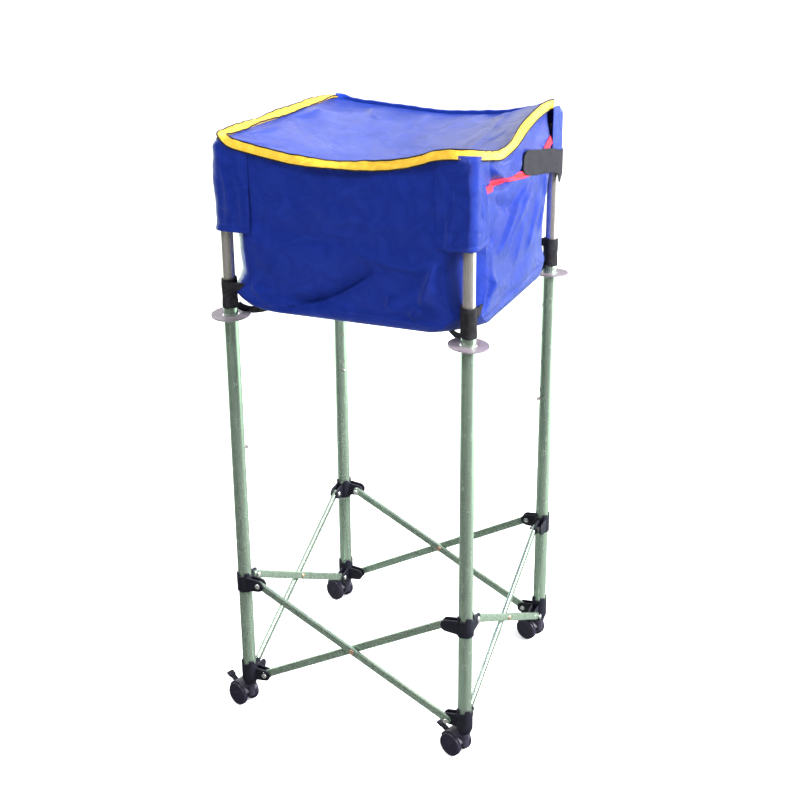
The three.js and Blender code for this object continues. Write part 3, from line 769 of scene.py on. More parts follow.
def rimHeightAt(x, y):
    u, v = [cubicWeights((value + bagHalf) / (2 * bagHalf), lidSteps + 1) for value in (x, y)]
    return np.einsum("...i,...j,ji->...", u, v, lidGrid)


def smooth(value, low, high):
    share = np.clip((value - low) / (high - low), 0, 1)
    return share * share * (3 - 2 * share)


def bell(distance, half):
    # e^-(distance / half)^2
    return np.exp(-((distance / half) ** 2))


def creaseField(u, v, creases):
    # each fold from (u0, v0) to (u1, v1): depth x e^-(distance / width)^1.4, wider on one side, faded ends
    total = np.zeros(np.shape(u))
    for u0, v0, u1, v1, width, depth, wider in creases:
        direction = np.array([u1 - u0, v1 - v0], float)
        length = np.linalg.norm(direction)
        direction /= length
        along = ((u - u0) * direction[0] + (v - v0) * direction[1]) / length
        across = -(u - u0) * direction[1] + (v - v0) * direction[0] + 0.06 * length * np.sin(along * halfTurn)
        reach = width * np.where(across > 0, 1 + wider, 1 - wider)
        ends = smooth(along, -0.12, 0.22) * smooth(1 - along, -0.12, 0.22)
        total += depth * np.exp(-(np.abs(across / reach) ** 1.4)) * ends
    return total


def waveField(u, v, seed, count, shortest, longest, height):
    # soft random waves: a sum of sines with seeded directions and lengths
    rng = np.random.default_rng(seed)
    total = np.zeros(np.shape(u))
    for _ in range(count):
        length = rng.uniform(shortest, longest)
        turn = rng.uniform(0, halfTurn)
        phase = rng.uniform(0, fullTurn)
        total += np.sin((u * np.cos(turn) + v * np.sin(turn)) * fullTurn / length + phase) * length / longest
    return total * height / math.sqrt(count)


def drawnIn(points):
    # the back right corner of the rim leans in
    x, y, z = points[..., 0] - cartMiddle[0], points[..., 1], points[..., 2]
    points[..., 0] -= lean["by"] * smooth(y, *lean["y"]) * smooth(x, *lean["x"]) * smooth(z, *lean["z"])
    return points


def rimRise(points, level, low):
    # how far the rim's own shape lifts a point of a wall, fading out down to low
    rise = rimHeightAt(points[..., 0] - cartMiddle[0], points[..., 1]) - bag["rim"]
    return rise * smooth(level, low, bag["rim"])


# Folds of each wall: (place along the side, height) to (place, height), width, depth, wider on one side
wallFolds = {
    "front": [
        (354, 828, 316, 748, 11, 5.0, 0.5), (316, 748, 301, 731, 9, 3.5, 0.3),
        (269, 762, 266, 738, 6, 2.2, 0.2), (81, 713, 250, 796, 7, -4.2, 0.5),
        (41, 758, 77, 722, 9, 4.0, 0.4), (60, 742, 215, 748, 16, -2.2, 0.3),
        (339, 947, 385, 959, 8, 4.0, 0.2), (140, 900, 330, 872, 34, 3.0, 0.2),
        (30, 860, 240, 836, 26, -2.4, 0.2), (200, 828, 352, 806, 18, 2.6, 0.4),
        (110, 838, 70, 775, 14, 2.0, -0.3), (150, 935, 260, 918, 12, 1.6, 0.3),
    ],
    "right": [
        (26, 953, 178, 927, 8, 8.0, 0.2), (30, 934, 160, 918, 8, -5.0, 0.2),
        (74, 904, 125, 875, 10, -4.0, 0.4), (125, 875, 194, 871, 10, -3.4, 0.3),
        (205, 880, 80, 812, 9, 5.0, 0.5), (241, 880, 102, 806, 8, 4.2, 0.4),
        (213, 856, 162, 773, 9, 3.6, -0.3), (275, 854, 221, 776, 9, 3.6, 0.3),
        (215, 838, 185, 836, 6, -2.4, 0.0), (19, 864, 63, 836, 8, -3.2, 0.2),
        (-5, 844, 48, 831, 6, -2.4, 0.2), (39, 790, 72, 770, 8, 4.0, 0.3), (72, 770, 31, 748, 8, 3.6, 0.3),
        (298, 876, 303, 836, 8, 3.0, 0.3), (303, 836, 282, 795, 8, 3.0, 0.3),
        (90, 760, 260, 748, 18, 2.6, 0.3), (120, 745, 250, 790, 20, -2.6, 0.2),
        (250, 905, 352, 915, 14, 2.4, 0.3),
    ],
    "back": [
        (40, 930, 150, 870, 14, 4.0, 0.4), (120, 920, 90, 820, 13, 3.4, -0.3),
        (260, 930, 350, 860, 12, 3.8, 0.4), (200, 900, 290, 800, 12, -3.4, 0.3),
        (320, 820, 240, 742, 12, 4.0, 0.4), (60, 810, 150, 745, 11, 3.8, -0.4),
        (150, 790, 260, 770, 16, -2.6, 0.2), (300, 770, 345, 735, 9, 3.0, 0.3),
        (90, 862, 200, 842, 18, 2.6, 0.2),
    ],
    "left": [
        (30, 935, 120, 880, 13, 3.8, 0.4), (340, 935, 250, 870, 13, 3.8, -0.4),
        (110, 870, 200, 800, 13, -3.4, 0.3), (290, 860, 210, 770, 12, 3.8, 0.4),
        (320, 800, 290, 740, 10, 3.4, 0.3), (70, 800, 130, 740, 11, 3.8, -0.3),
        (150, 905, 270, 895, 20, 2.6, 0.2), (140, 760, 250, 745, 16, 2.4, 0.3),
    ],
}
foldGain = {"front": 2.0, "right": 1.5, "back": 1.3, "left": 1.3}
billow = {"front": (2.5, 11), "right": (2.5, 23), "back": (3.5, 37), "left": (3.5, 41)}  # depth and seed
# How far the walls stop short of the bag's corners under the sleeves, at these heights: start and end
insetHeights = [703, 709, 716, 726, 737, 749, 765, 800, 820, 836, 870, 990]
cornerInsets = {
    "front": [[104, 90, 64, 47, 33, 48, 58, 54, 48, 46, 46, 46],
              [88, 72, 54, 40, 30, 36, 42, 46, 46, 46, 46, 46]],
    "right": [[98, 84, 62, 44, 32, 44, 56, 58, 54, 46, 46, 46],
              [124, 112, 100, 91, 82, 93, 103, 100, 93, 87, 68, 46]],
    "back": [[112, 100, 88, 78, 70, 76, 84, 78, 70, 62, 52, 46],
             [106, 90, 68, 50, 36, 50, 70, 62, 52, 46, 46, 46]],
    "left": [[106, 90, 68, 50, 36, 50, 70, 62, 52, 46, 46, 46],
             [142, 136, 124, 110, 100, 106, 110, 96, 72, 50, 46, 46]],
}


def standOut(side, place, height):
    # how far a wall stands out from flat, fading towards its sleeves and its rim
    depth, seed = billow[side]
    share = place / legSpacing
    full = np.sin(np.clip(share, 0, 1) * halfTurn) ** 0.6
    sag = depth * full * np.sin(np.clip((height - bag["sagLow"]) / bag["sagHeight"], 0, 1) * halfTurn)
    folds = foldGain[side] * creaseField(place, height, wallFolds[side])
    folds = folds + waveField(place, height, seed, *bag["waves"])
    overSeam = height - bag["seam"] - bag["seamWave"] * np.sin(share * halfTurn * 2 + seed)
    bead = bag["bead"] * bell(overSeam, bag["beadHalf"])
    bead -= bag["groove"] * bell(overSeam - bag["grooveUp"], bag["grooveHalf"])
    rimFade = smooth(bag["rim"] + 6 - height, 0, bag["rimFade"])
    clear = smooth(place, *bag["clear"]) * smooth(legSpacing - place, *bag["clear"])
    calmed = smooth(height, *bag["calmFrom"]) * (1 - bag["calm"]) * (1 - clear)
    return sag + folds * rimFade * (1 - calmed) + bead


def makeBagShell():
    # rows run from the rim down the walls, round the fillet, and in over the floor to its middle
    low, fillet, proud = bag["floor"], bag["fillet"], bag["proud"]
    upperRows = np.linspace(bag["rim"], low + fillet, bag["rows"])
    angle = np.linspace(0, quarterTurn, 9)[1:]
    heights = np.concatenate([upperRows, low + fillet * (1 - np.sin(angle))])
    inward = np.concatenate([0 * upperRows, fillet * (1 - np.cos(angle))])
    share = np.linspace(0, 1, bag["columns"])
    panels = []
    for leg, side in enumerate(sides):
        insets = [np.interp(heights, insetHeights, table)[:, None] for table in cornerInsets[side]]
        start, end = insets[0] - proud, insets[1] - proud
        place = start + (legSpacing - end - start) * share
        level = heights[:, None] + 0 * place
        fade = smooth(share, 0, 0.06) * smooth(1 - share, 0, 0.06) * smooth(level, low + 1, low + 16)
        out = standOut(side, place, level) * fade
        panels.append(gridAtLeg(np.stack([place, -proud - out + inward[:, None], level], -1), leg))
    # the corners are cubic curves that leave one wall and join the next, flatter where their chord is short
    columns = []
    headings = np.array([[1, 0, 0], [0, 1, 0], [-1, 0, 0], [0, -1, 0]], float)
    t = np.linspace(0, 1, bag["corner"] + 2)[1:-1][None, :, None]
    for leg in range(4):
        start, end = panels[leg][:, -1:], panels[(leg + 1) % 4][:, :1]
        chord = np.linalg.norm(end - start, axis=-1, keepdims=True)
        pull = chord * np.clip(0.06 + (chord - 65) / 40 * 0.16, 0.06, 0.24)
        first = start + headings[leg] * pull
        second = end - headings[(leg + 1) % 4] * pull
        curve = (1 - t) ** 3 * start + 3 * t * (1 - t) ** 2 * first + 3 * t**2 * (1 - t) * second + t**3 * end
        columns += [panels[leg], curve]
    wall = np.concatenate(columns, 1)
    wall[..., 2] += rimRise(wall, wall[..., 2], bag["wallLow"])
    wall = drawnIn(wall)
    middle = np.array([cartMiddle[0], 0, low])
    shares = np.linspace(1, 0, bag["floorRows"])[1:, None, None]
    floor = middle + (wall[-1] - middle)[None] * shares
    waves = waveField(floor[..., 0], floor[..., 1], 5, *bag["floorWaves"])
    floor[..., 2] = low + bag["floorRise"] * waves * (1 - shares[..., 0] ** 4)
    floor[-1] = floor[-1].mean(0)
    grid = np.concatenate([wall, floor])
    rows, count = grid.shape[:2]
    step = np.linalg.norm(np.diff(wall[0], axis=0, append=wall[0][:1]), axis=1)
    around = np.concatenate([[0], np.cumsum(step)[:-1]])
    down = np.concatenate([wall[..., 2], floor[..., 2] - (1 - shares[..., 0]) * 180])
    uv = np.stack([np.broadcast_to(around, (rows, count)), down], -1)
    return (grid.reshape(-1, 3), gridFaces(rows, count, True)), uv.reshape(-1, 2)


def thicken(piece, thickness, offset=-1.0):
    modifier = piece.modifiers.new("thickness", "SOLIDIFY")
    modifier.thickness = thickness * mm
    modifier.offset = offset
    mesh = evaluated(piece)
    piece.modifiers.clear()
    piece.data = mesh


def addEmpty(name, body, target, space):
    # an empty on one body that copies the place of target
    empty = addObject(name, None)
    empty.parent = bodies[body]
    copied = empty.constraints.new("COPY_LOCATION")
    copied.target = target
    copied.owner_space = copied.target_space = space
    return empty


def foldWithMasts(piece, hinged=False):
    # each point keeps its share between the four masts at any fold: bilinear weights, whole beside each mast
    # a hinged piece is on the lid, carried by the back right mast: its hooks copy the others into lid space
    stiff = sleeve["reach"] / legSpacing
    place = (pointsOf(piece.data) - legAt[0]) / legSpacing
    u, v = np.clip((place[:, :2].T - stiff) / (1 - 2 * stiff), 0, 1)
    shares = {
        "front_left": (1 - u) * (1 - v), "front_right": u * (1 - v),
        "back_right": u * v, "back_left": (1 - u) * v,
    }
    del shares["back_right" if hinged else "front_left"]
    for corner, weights in shares.items():
        group = piece.vertex_groups.new(name=corner)
        levels = np.round(weights, 3)
        for level in np.unique(levels[levels > 0]):
            group.add(np.flatnonzero(levels == level).tolist(), float(level), "REPLACE")
        hook = piece.modifiers.new(corner, "HOOK")
        hook.object = bodies[corner + "_mast"]
        if hinged:
            beside = addEmpty(corner + "Beside", "back_right_mast", bodies[corner + "_mast"], "WORLD")
            hook.object = addEmpty(corner + "OnLid", "lid", beside, "LOCAL")
        hook.vertex_group = corner
        hook.falloff_type = "NONE"
        hook.strength = 1.0
        hook.matrix_inverse = Matrix.Identity(4)


def makeOnMasts(name, shape, material, thickness=0.0, offset=-1.0, uv=None):
    # a soft piece that rides on the front left mast and folds with the other three
    piece = makePiece(name, shape, material, body="front_left_mast", uv=uv, sharp=60)
    if thickness:
        thicken(piece, thickness, offset)
    foldWithMasts(piece)
    return piece


bagShape, bagUv = makeBagShell()
bagPiece = makeOnMasts("bagBody", bagShape, blueCloth, bag["cloth"], uv=bagUv)
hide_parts("front_bag_wall", "right_bag_wall", "back_bag_wall", "left_bag_wall", "bag_floor")
print("bag body made")


def wallPoints(side, place, height, lift):
    # points on a wall's outer face at their final height, lifted off it
    place, height = np.broadcast_arrays(place, height)
    level = height
    for _ in range(5):
        local = np.stack([place, -bag["proud"] - standOut(side, place, level) - lift, height], -1)
        points = gridAtLeg(local, sides.index(side))
        level = height - rimRise(points, level, bag["wallLow"])
    return drawnIn(points)


# Sleeves: a patch of cloth round each mast, sewn to the walls on both sides
def makeSleeve(leg):
    # along one wall's face to the mast, a quarter circle round it, and along the next wall's face
    radius, reach, hem, ease = sleeve["radius"], sleeve["reach"], sleeve["low"][leg], sleeve["ease"][leg]
    bend = radius * quarterTurn
    total = 2 * reach + bend
    run = np.linspace(0, total, sleeve["columns"])
    angle = np.clip((run - reach) / bend, 0, 1) * quarterTurn
    outward = np.stack([-np.sin(angle), -np.cos(angle)], 1)
    away = [np.clip(reach - run, 0, None), np.clip(run - reach - bend, 0, None)]
    path = radius * outward + np.stack(away, 1)
    level, place = np.meshgrid(np.linspace(bag["rim"], hem, sleeve["rows"]), run, indexing="ij")
    rng = np.random.default_rng(70 + leg)
    creases = []
    sway, wider = sleeve["creaseSway"], sleeve["creaseWider"]
    for _ in range(sleeve["creases"]):
        start = rng.uniform(10, total - 10)
        top = rng.uniform(*sleeve["creaseTop"])
        end = (start + rng.uniform(-sway, sway), top - rng.uniform(*sleeve["creaseFall"]))
        width, depth = rng.uniform(*sleeve["creaseWidth"]), rng.uniform(*sleeve["creaseDepth"])
        creases.append((start, top, *end, width, depth, rng.uniform(-wider, wider)))
    edge = smooth(place, 0, sleeve["sewn"]) * smooth(total - place, 0, sleeve["sewn"]) * ease
    waves = np.abs(waveField(place, level, 90 + leg, *sleeve["waves"]))
    lift = (creaseField(place, level, creases) + waves + sleeve["loose"]) * edge + sleeve["off"]
    # the hem's roll and its line of stitching, and the top gathered round the mast's end
    stitched = level - hem - sleeve["stitched"]
    lift += sleeve["hemRoll"] * bell(level - hem - 2, 2.6) - sleeve["stitchSink"] * bell(stitched, 1.6)
    gathered = bell(place - total / 2, sleeve["gatherHalf"])
    lift -= sleeve["gather"] * smooth(level, *sleeve["gatherFrom"]) * gathered
    points = gridAtLeg(np.concatenate([path + outward * lift[..., None], level[..., None]], -1), leg)
    points[..., 2] += rimRise(points, points[..., 2], bag["sleeveLow"])
    uv = np.stack([place + 700 * leg, level], -1).reshape(-1, 2)
    return (points.reshape(-1, 3), gridFaces(*level.shape)), uv


for leg, corner in enumerate(corners):
    shape, uv = makeSleeve(leg)
    name, body = corner + "Sleeve", corner + "_mast"
    piece = makePiece(name, shape, blueCloth, body=body, uv=uv, sharp=60)
    thicken(piece, sleeve["cloth"], 1.0)
print("sleeves made")


# Stitches: short rounded threads laid along a line of points
def makeStitches(points, outward, pitch=4.6, length=2.7, radius=0.34):
    run = np.concatenate([[0], np.cumsum(np.linalg.norm(np.diff(points, axis=0), axis=1))])
    starts = np.arange(pitch / 2, run[-1] - length, pitch)

    def read(values, offset):
        return np.stack([np.interp(starts + offset, run, values[:, axis]) for axis in range(3)], -1)

    first, last = read(points, 0), read(points, length)
    along = unit(last - first)
    across = unit(np.cross(along, read(outward, 0)))
    lift = np.cross(across, along)
    angle = (np.arange(6) * fullTurn / 6)[:, None]
    ring = (across[:, None] * np.cos(angle) + lift[:, None] * np.sin(angle)) * radius
    # five rings of six points: shares of the thread's first and last point, and of its radius
    sections = [(1, 0, 0.3), (0.8, 0.2, 1), (0.5, 0.5, 1.15), (0.2, 0.8, 1), (0, 1, 0.3)]
    rings = [first[:, None] * start + last[:, None] * end + ring * size for start, end, size in sections]
    thread = 30 * np.arange(len(starts))[:, None]
    faces = (thread[..., None] + np.array(gridFaces(5, 6, True))).reshape(-1, 4).tolist()
    faces += np.concatenate([thread + np.arange(6), thread + np.arange(24, 30)], 1).reshape(-1, 6).tolist()
    return np.stack(rings, 1).reshape(-1, 3), faces


def makeTape(points, outward, width, thickness, count=12):
    # a flat tape centred on a line, lying against the surface whose outward direction is given
    outward = np.broadcast_to(np.array(outward, float), points.shape)
    return swept(points, outward, roundSection(thickness / 2, width / 2, count, 3.2))


# Yellow zip trim on the left, front and right of the rim, and the blue hinge seam at the back
trim = {"halfHeight": 7.2, "halfThick": 2.3, "proud": 1.2, "corner": 36, "samples": 720,
        "tilt": math.radians(24), "edge": 0.95, "edgeOut": 1.3, "curl": 1.5, "curlRise": 3.2, "curlIn": 4,
        "rise": 1.4, "seamHalf": 1.2, "ripples": (9, 14, 23, 31, 47, 61), "sways": (4, 7, 12)}


def rimPath(half, corner, count):
    # a rounded square walked anticlockwise from the front left, with its outward directions
    straight = 2 * (half - corner)
    bend = corner * quarterTurn
    run = np.linspace(0, 4 * (straight + bend), count, endpoint=False)
    quarter = np.floor(run / (straight + bend)).astype(int)
    rest = run - quarter * (straight + bend)
    angle = np.clip((rest - straight) / bend, 0, 1) * quarterTurn
    x = -half + corner + np.minimum(rest, straight) + corner * np.sin(angle)
    y = -half + corner - corner * np.cos(angle)
    turn = quarter * quarterTurn
    facing = angle - quarterTurn + turn
    points = np.stack([x * np.cos(turn) - y * np.sin(turn), x * np.sin(turn) + y * np.cos(turn), 0 * x], 1)
    return points, np.stack([np.cos(facing), np.sin(facing), 0 * facing], 1)


def makeTrim():
    half, corner, count = bagHalf + trim["proud"], trim["corner"], trim["samples"]
    halfHeight, halfThick = trim["halfHeight"], trim["halfThick"]
    path, outward = rimPath(half, corner, count)
    run = np.linspace(0, fullTurn, count, endpoint=False)
    rng = np.random.default_rng(404)
    ripple = sum(
        np.sin(run * k + rng.uniform(0, fullTurn)) * rng.uniform(0.3, 1.0) / 3 for k in trim["ripples"]
    )
    turn = trim["tilt"] + 0.16 * sum(np.sin(run * k + rng.uniform(0, fullTurn)) for k in trim["sways"])
    # on the left the trim curls over to face up and inward
    over = smooth(-path[:, 0], bagHalf - 40, bagHalf - 6)
    turn += trim["curl"] * over
    height = rimHeightAt(path[:, 0] * 0.985, path[:, 1] * 0.985) + trim["rise"] + 0.7 * ripple
    path[:, 2] = height + trim["curlRise"] * over
    path[:, 0] += trim["curlIn"] * over
    path[:, :2] += outward[:, :2] * (0.6 * ripple)[:, None]
    path[:, 0] += cartMiddle[0]
    path = drawnIn(path)
    # the back side, from the middle of one bend to the middle of the next, is the hinge seam
    straight = 2 * (half - corner)
    halfBend = (1 - straight / (straight + corner * quarterTurn)) / 2
    hinge = np.arange(math.floor(count * (2 - halfBend) / 4), math.ceil(count * (3 - halfBend) / 4) + 1)
    seamSection = roundSection(trim["seamHalf"], halfHeight - 1.5, 16, 3.0)
    seam = swept(path[hinge] - outward[hinge] * trim["seamHalf"], outward[hinge], seamSection)
    order = np.concatenate([np.arange(hinge[-1] - 1, count), np.arange(0, hinge[0] + 2)])
    path, outward, turn, ripple = path[order], outward[order], turn[order], ripple[order]
    swell = np.stack([1 + 0.16 * ripple, 1 + 0.05 * ripple], 1)
    section = roundSection(halfThick, halfHeight, 20, 3.0)[None] * swell[:, None]
    sine, cosine = np.sin(turn)[:, None], np.cos(turn)[:, None]
    out, rise = section[..., 0], section[..., 1]
    band = swept(path, outward, np.stack([out * cosine - rise * sine, out * sine + rise * cosine], -1))
    up = np.array([0, 0, 1.0])

    def beside(rise, out):
        return path + outward * (out * cosine - rise * sine) + up * (rise * cosine + out * sine)

    edgeSection = roundSection(trim["edge"], trim["edge"] * 1.3, 8, 2.0)
    edges = [swept(beside(way * halfHeight, trim["edgeOut"]), outward, edgeSection) for way in (-1, 1)]
    face = outward * cosine + up * sine
    lines = [beside(way * (halfHeight - 2.2), halfThick * 1.02) for way in (-1, 1)]
    seams = [makeStitches(line, face, 5.2, 3.0, 0.3) for line in lines]
    return band, joined(*edges), joined(*seams), seam


bandShape, edgeShape, seamShape, hingeShape = makeTrim()
makeOnMasts("yellowTrim", bandShape, yellowTape)
makeOnMasts("trimEdges", edgeShape, darkTape)
makeOnMasts("trimStitches", seamShape, yellowThread)
makeOnMasts("hingeSeam", hingeShape, lidClothPaintedLighter)
print("trim made")

# Red strip along the right wall, with stitching, and the hook and loop patch round the back right mast
strip = {"line": [(21, 916), (80, 915), (146, 908), (207, 901), (251, 904), (288, 917), (328, 928)],
         "width": 11, "thickness": 1.2, "clear": 0.7, "overSleeve": 2.2}
patch = {"start": 180, "line": [(180, 920), (282, 904), (384, 882)], "half": 19, "thickness": 1.8,
         "round": 30, "wrap": 46, "lift": 3.0, "tail": 14, "over": 2.8}


def makeStrip():
    # the tape follows the wall under it across its whole width, and lies on the sleeve at its front end
    line = np.array(strip["line"], float)
    place, height = (cubicWeights(np.linspace(0, 1, 160), len(line)) @ line).T[:, :, None]
    rise = strip["thickness"] + strip["clear"] + strip["overSleeve"] * (1 - smooth(place, 44, 58))
    points = wallPoints("right", place, height + strip["width"] * np.linspace(-0.5, 0.5, 9), rise)
    outward = np.broadcast_to(np.array([1.0, 0, 0]), (len(place), 3))
    seams = []
    for way in (-1, 1):
        centre = wallPoints("right", place, height + way * strip["width"] * 0.34, rise)
        seams.append(makeStitches(centre[:, 0], outward))
    return (points.reshape(-1, 3), gridFaces(*points.shape[:2])), joined(*seams)


def makePatch():
    # a band along the right wall and round the back right mast, with a round left end and a short tail
    v, u = np.meshgrid(np.linspace(-1, 1, 22), np.linspace(0, 1, 110), indexing="ij")
    straight = legSpacing - patch["start"]
    radius = sleeve["radius"] + patch["lift"]
    bend = radius * quarterTurn
    run = u * (straight + bend + patch["wrap"])
    past = run - straight
    angle = np.clip(past / bend, 0, 1) * quarterTurn
    centre = np.interp(patch["start"] + run, *np.array(patch["line"], float).T)
    nearEnd = np.clip(1 - run / patch["round"], 0, 1)
    half = patch["half"] * np.sqrt(np.clip(1 - nearEnd**2 * 0.86, 0, 1))
    tail = patch["tail"] * bell(past + 12, 9) * smooth(-v, 0, 1)
    z = centre + v * half - tail + 0.8 * np.sin(run / 17)
    out = radius + (patch["over"] + 1.2 * waveField(run, v * 20, 12, 6, 30, 90, 1.0)) * smooth(-past, 0, 40)
    y = np.where(past < 0, past, radius * np.sin(angle))
    x = np.where(past < 0, out, radius * np.cos(angle)) - np.clip(past - bend, 0, None)
    points = np.stack([x + legAt[2][0], y + legAt[2][1], z], -1).reshape(-1, 3)
    return drawnIn(points), gridFaces(*u.shape)


stripShape, stripSeams = makeStrip()
makeOnMasts("redPiping", stripShape, redTape, strip["thickness"])
makeOnMasts("redPipingStitches", stripSeams, blueThread)
makeOnMasts("hookAndLoopPatch", makePatch(), hookTape, patch["thickness"], 0.0)
print("strip and patch made")

# Lid: a loose top whose folds run in from the trim, zipped to the rim
lidFolds = [
    (130, -83, 123, 175, 13, 3.6, 0.4), (157, -22, 174, 16, 6, -2.2, 0.2),
    (-118, 180, -90, 127, 8, 3.0, 0.3), (-186, -136, -178, -34, 9, 2.6, 0.4),
    (-188, 18, -176, 104, 9, 2.6, 0.4), (-126, -196, -112, -150, 7, 2.6, 0.2),
    (-96, -198, -84, -160, 6, 2.2, 0.2), (-34, -198, -20, -156, 6, 2.4, -0.2),
    (-2, -198, 6, -162, 5, 1.8, 0.2), (31, -198, 42, -150, 7, 2.6, 0.3), (57, -198, 60, -166, 5, 2.0, 0.2),
    (88, -198, 84, -156, 6, 2.2, -0.3), (-190, -190, -110, -120, 10, 3.0, 0.4),
    (190, 188, 118, 120, 10, 3.0, -0.4), (60, 150, 20, 60, 14, 2.6, 0.4), (-60, 60, 40, -40, 20, 2.2, 0.3),
    (-20, 190, -10, 120, 9, 2.2, 0.2), (80, 192, 66, 140, 8, 2.4, 0.2), (150, 60, 110, 0, 10, -2.0, 0.3),
    (-120, 0, -60, -60, 15, -2.2, 0.3), (186, -150, 140, -110, 8, 2.4, 0.3),
]
lid = {"rows": 170, "corner": 36, "inset": 1.5, "cloth": 0.9, "rise": 1.4, "edge": 14}


def makeLid():
    v, u = np.meshgrid(*[np.linspace(-1, 1, lid["rows"])] * 2, indexing="ij")
    half = bagHalf - lid["inset"]
    flat = np.stack([u, v], -1) * half
    # outside the core the square's corners are drawn in to a circle
    over = np.clip(np.abs(flat) - half + lid["corner"], 0, None)
    shrink = over.max(-1) / np.maximum(np.linalg.norm(over, axis=-1), 1e-9)
    flat = np.sign(flat) * (np.abs(flat) - over + over * shrink[..., None])
    x, y = flat[..., 0], flat[..., 1]
    edge = smooth(half - np.abs(flat).max(-1), 0, lid["edge"])
    folds = creaseField(x, y, lidFolds) + waveField(x, y, 77, 14, 40, 150, 1.7)
    z = rimHeightAt(x, y) + lid["rise"] + folds * edge
    points = drawnIn(np.stack([x + cartMiddle[0], y, z], -1).reshape(-1, 3))
    return (points, gridFaces(*u.shape)), flat.reshape(-1, 2)


lidShape, lidUv = makeLid()
lidPiece = makePiece("bagLid", lidShape, lidClothPaintedLighter, "bag_lid", uv=lidUv, sharp=60)
thicken(lidPiece, lid["cloth"])
foldWithMasts(lidPiece, True)
print("lid made")

# Ties at the bag's lower corners and the guard discs
tie = {"inner": 9.9, "outer": 12, "low": 709, "high": 754, "tabWidth": 14, "tabHeight": 742, "tabStart": 6,
       "tabEnd": 37, "strapStart": 8, "strapReach": 50, "strapHeight": 711, "strapSag": 10, "strapDrop": 8,
       "strapWidth": 11}
disc = {"radius": 30, "bore": 12.6, "thickness": 1.5, "height": 696, "tilt": math.radians(4), "lip": 1.6,
        "bead": 0.5}


def makeTieBand():
    share = np.linspace(0, 1, 16)
    outer = tie["outer"] + 0.35 * np.sin(9 * share + 1)
    wall = np.stack([outer, tie["low"] + share * (tie["high"] - tie["low"])], 1)
    profile = np.concatenate([[(tie["inner"], tie["low"])], wall, [(tie["inner"], tie["high"])]])
    points, faces = revolved(softened(profile, 0.6, 2, True), 48, True)
    points[:, 2] += 1.2 * np.sin(np.arctan2(points[:, 1], points[:, 0]) + 0.6)
    return points, faces


def makeTab():
    place = np.linspace(tie["tabStart"], tie["tabEnd"], 40)
    out = tie["inner"] + 0.9 - 1.6 * np.sin((place - tie["tabStart"]) / 16)
    path = np.stack([place, -out, tie["tabHeight"] + 1.2 * np.sin(place / 13)], 1)
    return makeTape(path, (0, -1, 0), tie["tabWidth"], 2.2, 14)


def makeStrap():
    # a strap that hangs from the tie and runs in under the bag's lower corner
    t = np.linspace(0, 1, 40)
    reach = tie["strapStart"] + tie["strapReach"] * t
    height = tie["strapHeight"] - tie["strapSag"] * np.sin(t**0.7 * halfTurn) - tie["strapDrop"] * t
    outward = np.array([1, -1, 0]) / math.sqrt(2)
    return makeTape(np.stack([reach, reach, height], 1), outward, tie["strapWidth"], 1.6, 12)


def makeDisc():
    half, bore, radius, bead = disc["thickness"] / 2, disc["bore"], disc["radius"], disc["bead"]
    upper = [(radius, half + bead), (radius - disc["lip"], half), (bore, half)]
    profile = np.array([(r, -z) for r, z in upper[::-1]] + upper)
    flat = revolved(softened(profile, 0.5, 3, True), 96, True)
    return shifted(turnedBy(flat, disc["tilt"], "X"), (0, 0, disc["height"]))


tieShape = joined(makeTieBand(), makeTab(), makeStrap())
discShape = makeDisc()
for leg, corner in enumerate(corners):
    makePiece(corner + "Tie", atLeg(tieShape, leg), blackWeb, corner + "_bag_tie")
    makePiece(corner + "GuardDisc", atLeg(discShape, leg), clearDisc, corner + "_guard_disc")
print("ties and discs made")

# Stage, light and camera
view = {"azimuth": math.radians(23.014), "elevation": math.radians(21.863), "roll": math.radians(-0.467),
        "eye": [867.6, -2033.4, 1399.1], "lens": 65.81}


def addArea(name, place, aim, size, power):
    lamp = bpy.data.lights.new(name, "AREA")
    lamp.shape = "RECTANGLE"
    lamp.size = lamp.size_y = size
    lamp.energy = power
    light = addObject(name, lamp)
    light.location = place
    light.rotation_euler = (Vector(aim) - Vector(place)).to_track_quat("-Z", "Y").to_euler()


def bandsAround(tree, x, y, low, high):
    # darker bands round the cart, three to a turn
    wave = mathNode(tree, "SINE", mathNode(tree, "MULTIPLY", mathNode(tree, "ARCTAN2", y, x), 3.0))
    return remapped(tree, wave, -0.3, 0.3, low, high)


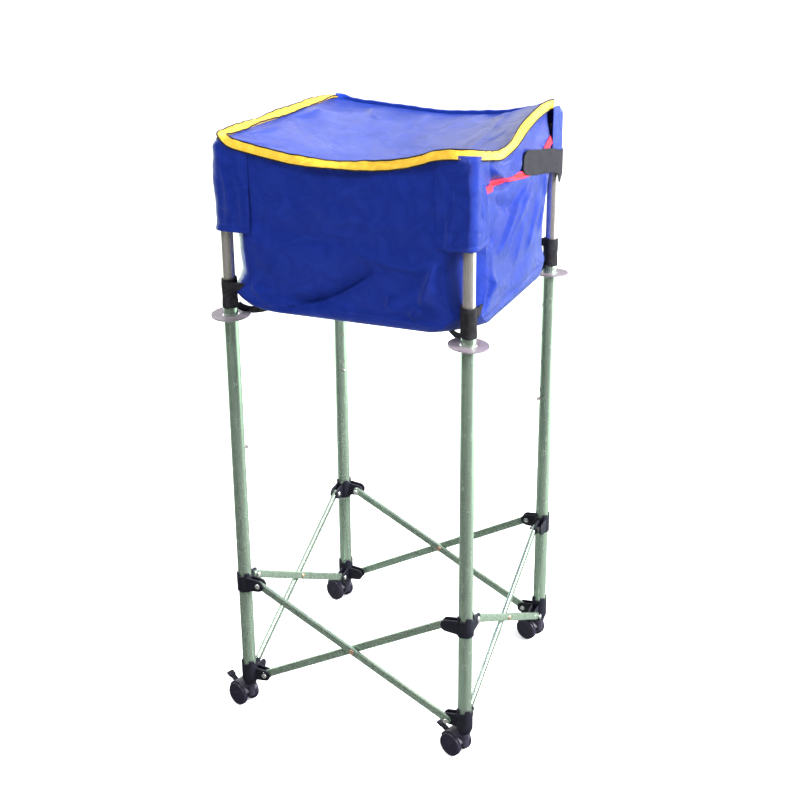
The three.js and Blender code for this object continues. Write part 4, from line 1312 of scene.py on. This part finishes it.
def makeFloor():
    mesh = bpy.data.meshes.new("floor")
    mesh.from_pydata([(-40, -40, 0), (40, -40, 0), (40, 40, 0), (-40, 40, 0)], [], [(0, 1, 2, 3)])
    material, tree, shader, _ = startMaterial("paleFloor")
    # reflections see a studio floor: bright behind the cart, dim in front of it and near it, darker in bands
    paths = addNode(tree, "ShaderNodeLightPath").outputs
    glossy = paths["Is Glossy Ray"]
    place = addNode(tree, "ShaderNodeSeparateXYZ", {0: placeIn(tree)}).outputs
    x, y = place["X"], place["Y"]
    around = mathNode(tree, "MULTIPLY_ADD", y, y, mathNode(tree, "MULTIPLY", x, x))
    bands = bandsAround(tree, x, y, 0.4, 1.0)
    lit = mathNode(tree, "MULTIPLY", bands, remapped(tree, y, -0.7, 0.9, 0.14, 2.6))
    lit = mathNode(tree, "MULTIPLY", lit, remapped(tree, around, 0.3, 4.0, 0.24, 1.0))
    lit = mathNode(tree, "MULTIPLY", lit, glossy)
    feed(tree, shader, {
        "Base Color": tinted(tree, glossy, (0.8, 0.8, 0.81), (0, 0, 0)),
        "Roughness": 0.7,
        "Specular IOR Level": 0.0,
        "Emission Color": tinted(tree, glossy, (1, 1, 1), (0.82, 1.0, 0.86)),
        "Emission Strength": mathNode(tree, "MULTIPLY_ADD", paths["Is Camera Ray"], 0.42, lit),
    })
    mesh.materials.append(material)
    addObject("floor", mesh)


def makeWorld():
    world = bpy.data.worlds.new("studio")
    scene.world = world
    world.use_nodes = True
    tree = world.node_tree
    background = tree.nodes["Background"]
    # bright behind and to the right, dim in front, a little brighter overhead
    direction = addNode(tree, "ShaderNodeSeparateXYZ", {0: placeIn(tree, "Generated")}).outputs
    depth = mathNode(tree, "MULTIPLY_ADD", direction["X"], 0.45, direction["Y"])
    behind = remapped(tree, depth, -0.35, 0.55, 0.12, 2.6)
    overhead = remapped(tree, direction["Z"], 0.25, 0.9)
    level = addNode(tree, "ShaderNodeMix", {"Factor": overhead, "A": behind, "B": 0.8}).outputs["Result"]
    bands = bandsAround(tree, direction["X"], direction["Y"], 0.5, 1.15)
    feed(tree, background, {"Strength": mathNode(tree, "MULTIPLY", level, bands), "Color": (1, 1, 1, 1)})
    plain = addNode(tree, "ShaderNodeBackground", {"Color": (1, 1, 1, 1), "Strength": 1.0}).outputs[0]
    seen = addNode(tree, "ShaderNodeLightPath").outputs["Is Camera Ray"]
    mixed = addNode(tree, "ShaderNodeMixShader", {0: seen, 1: background.outputs[0], 2: plain}).outputs[0]
    feed(tree, tree.nodes["World Output"], {"Surface": mixed})


def makeCamera():
    camera = addObject("camera", bpy.data.cameras.new("camera"))
    camera.data.sensor_width = 36
    camera.data.lens = view["lens"]
    camera.data.clip_end = 50
    azimuth, elevation, roll = view["azimuth"], view["elevation"], view["roll"]
    flat = math.cos(elevation)
    back = np.array([math.sin(azimuth) * flat, -math.cos(azimuth) * flat, math.sin(elevation)])
    right = np.array([math.cos(azimuth), math.sin(azimuth), 0])
    up = np.cross(back, right)
    axes = [right * math.cos(roll) + up * math.sin(roll), -right * math.sin(roll) + up * math.cos(roll), back]
    eye = (cartMiddle * np.array([1, 1, 0]) + np.array(view["eye"])) * mm
    camera.matrix_world = Matrix(np.stack([*axes, eye], 1).tolist()).to_4x4()
    scene.camera = camera


makeFloor()
makeWorld()
addArea("keyRight", (3.0, 0.5, 2.2), (0, 0, 0.7), 1.3, 480)
addArea("frontHigh", (-1.0, -1.25, 3.0), (0, 0, 0.6), 0.7, 92)
scene.view_settings.view_transform = "Standard"
makeCamera()
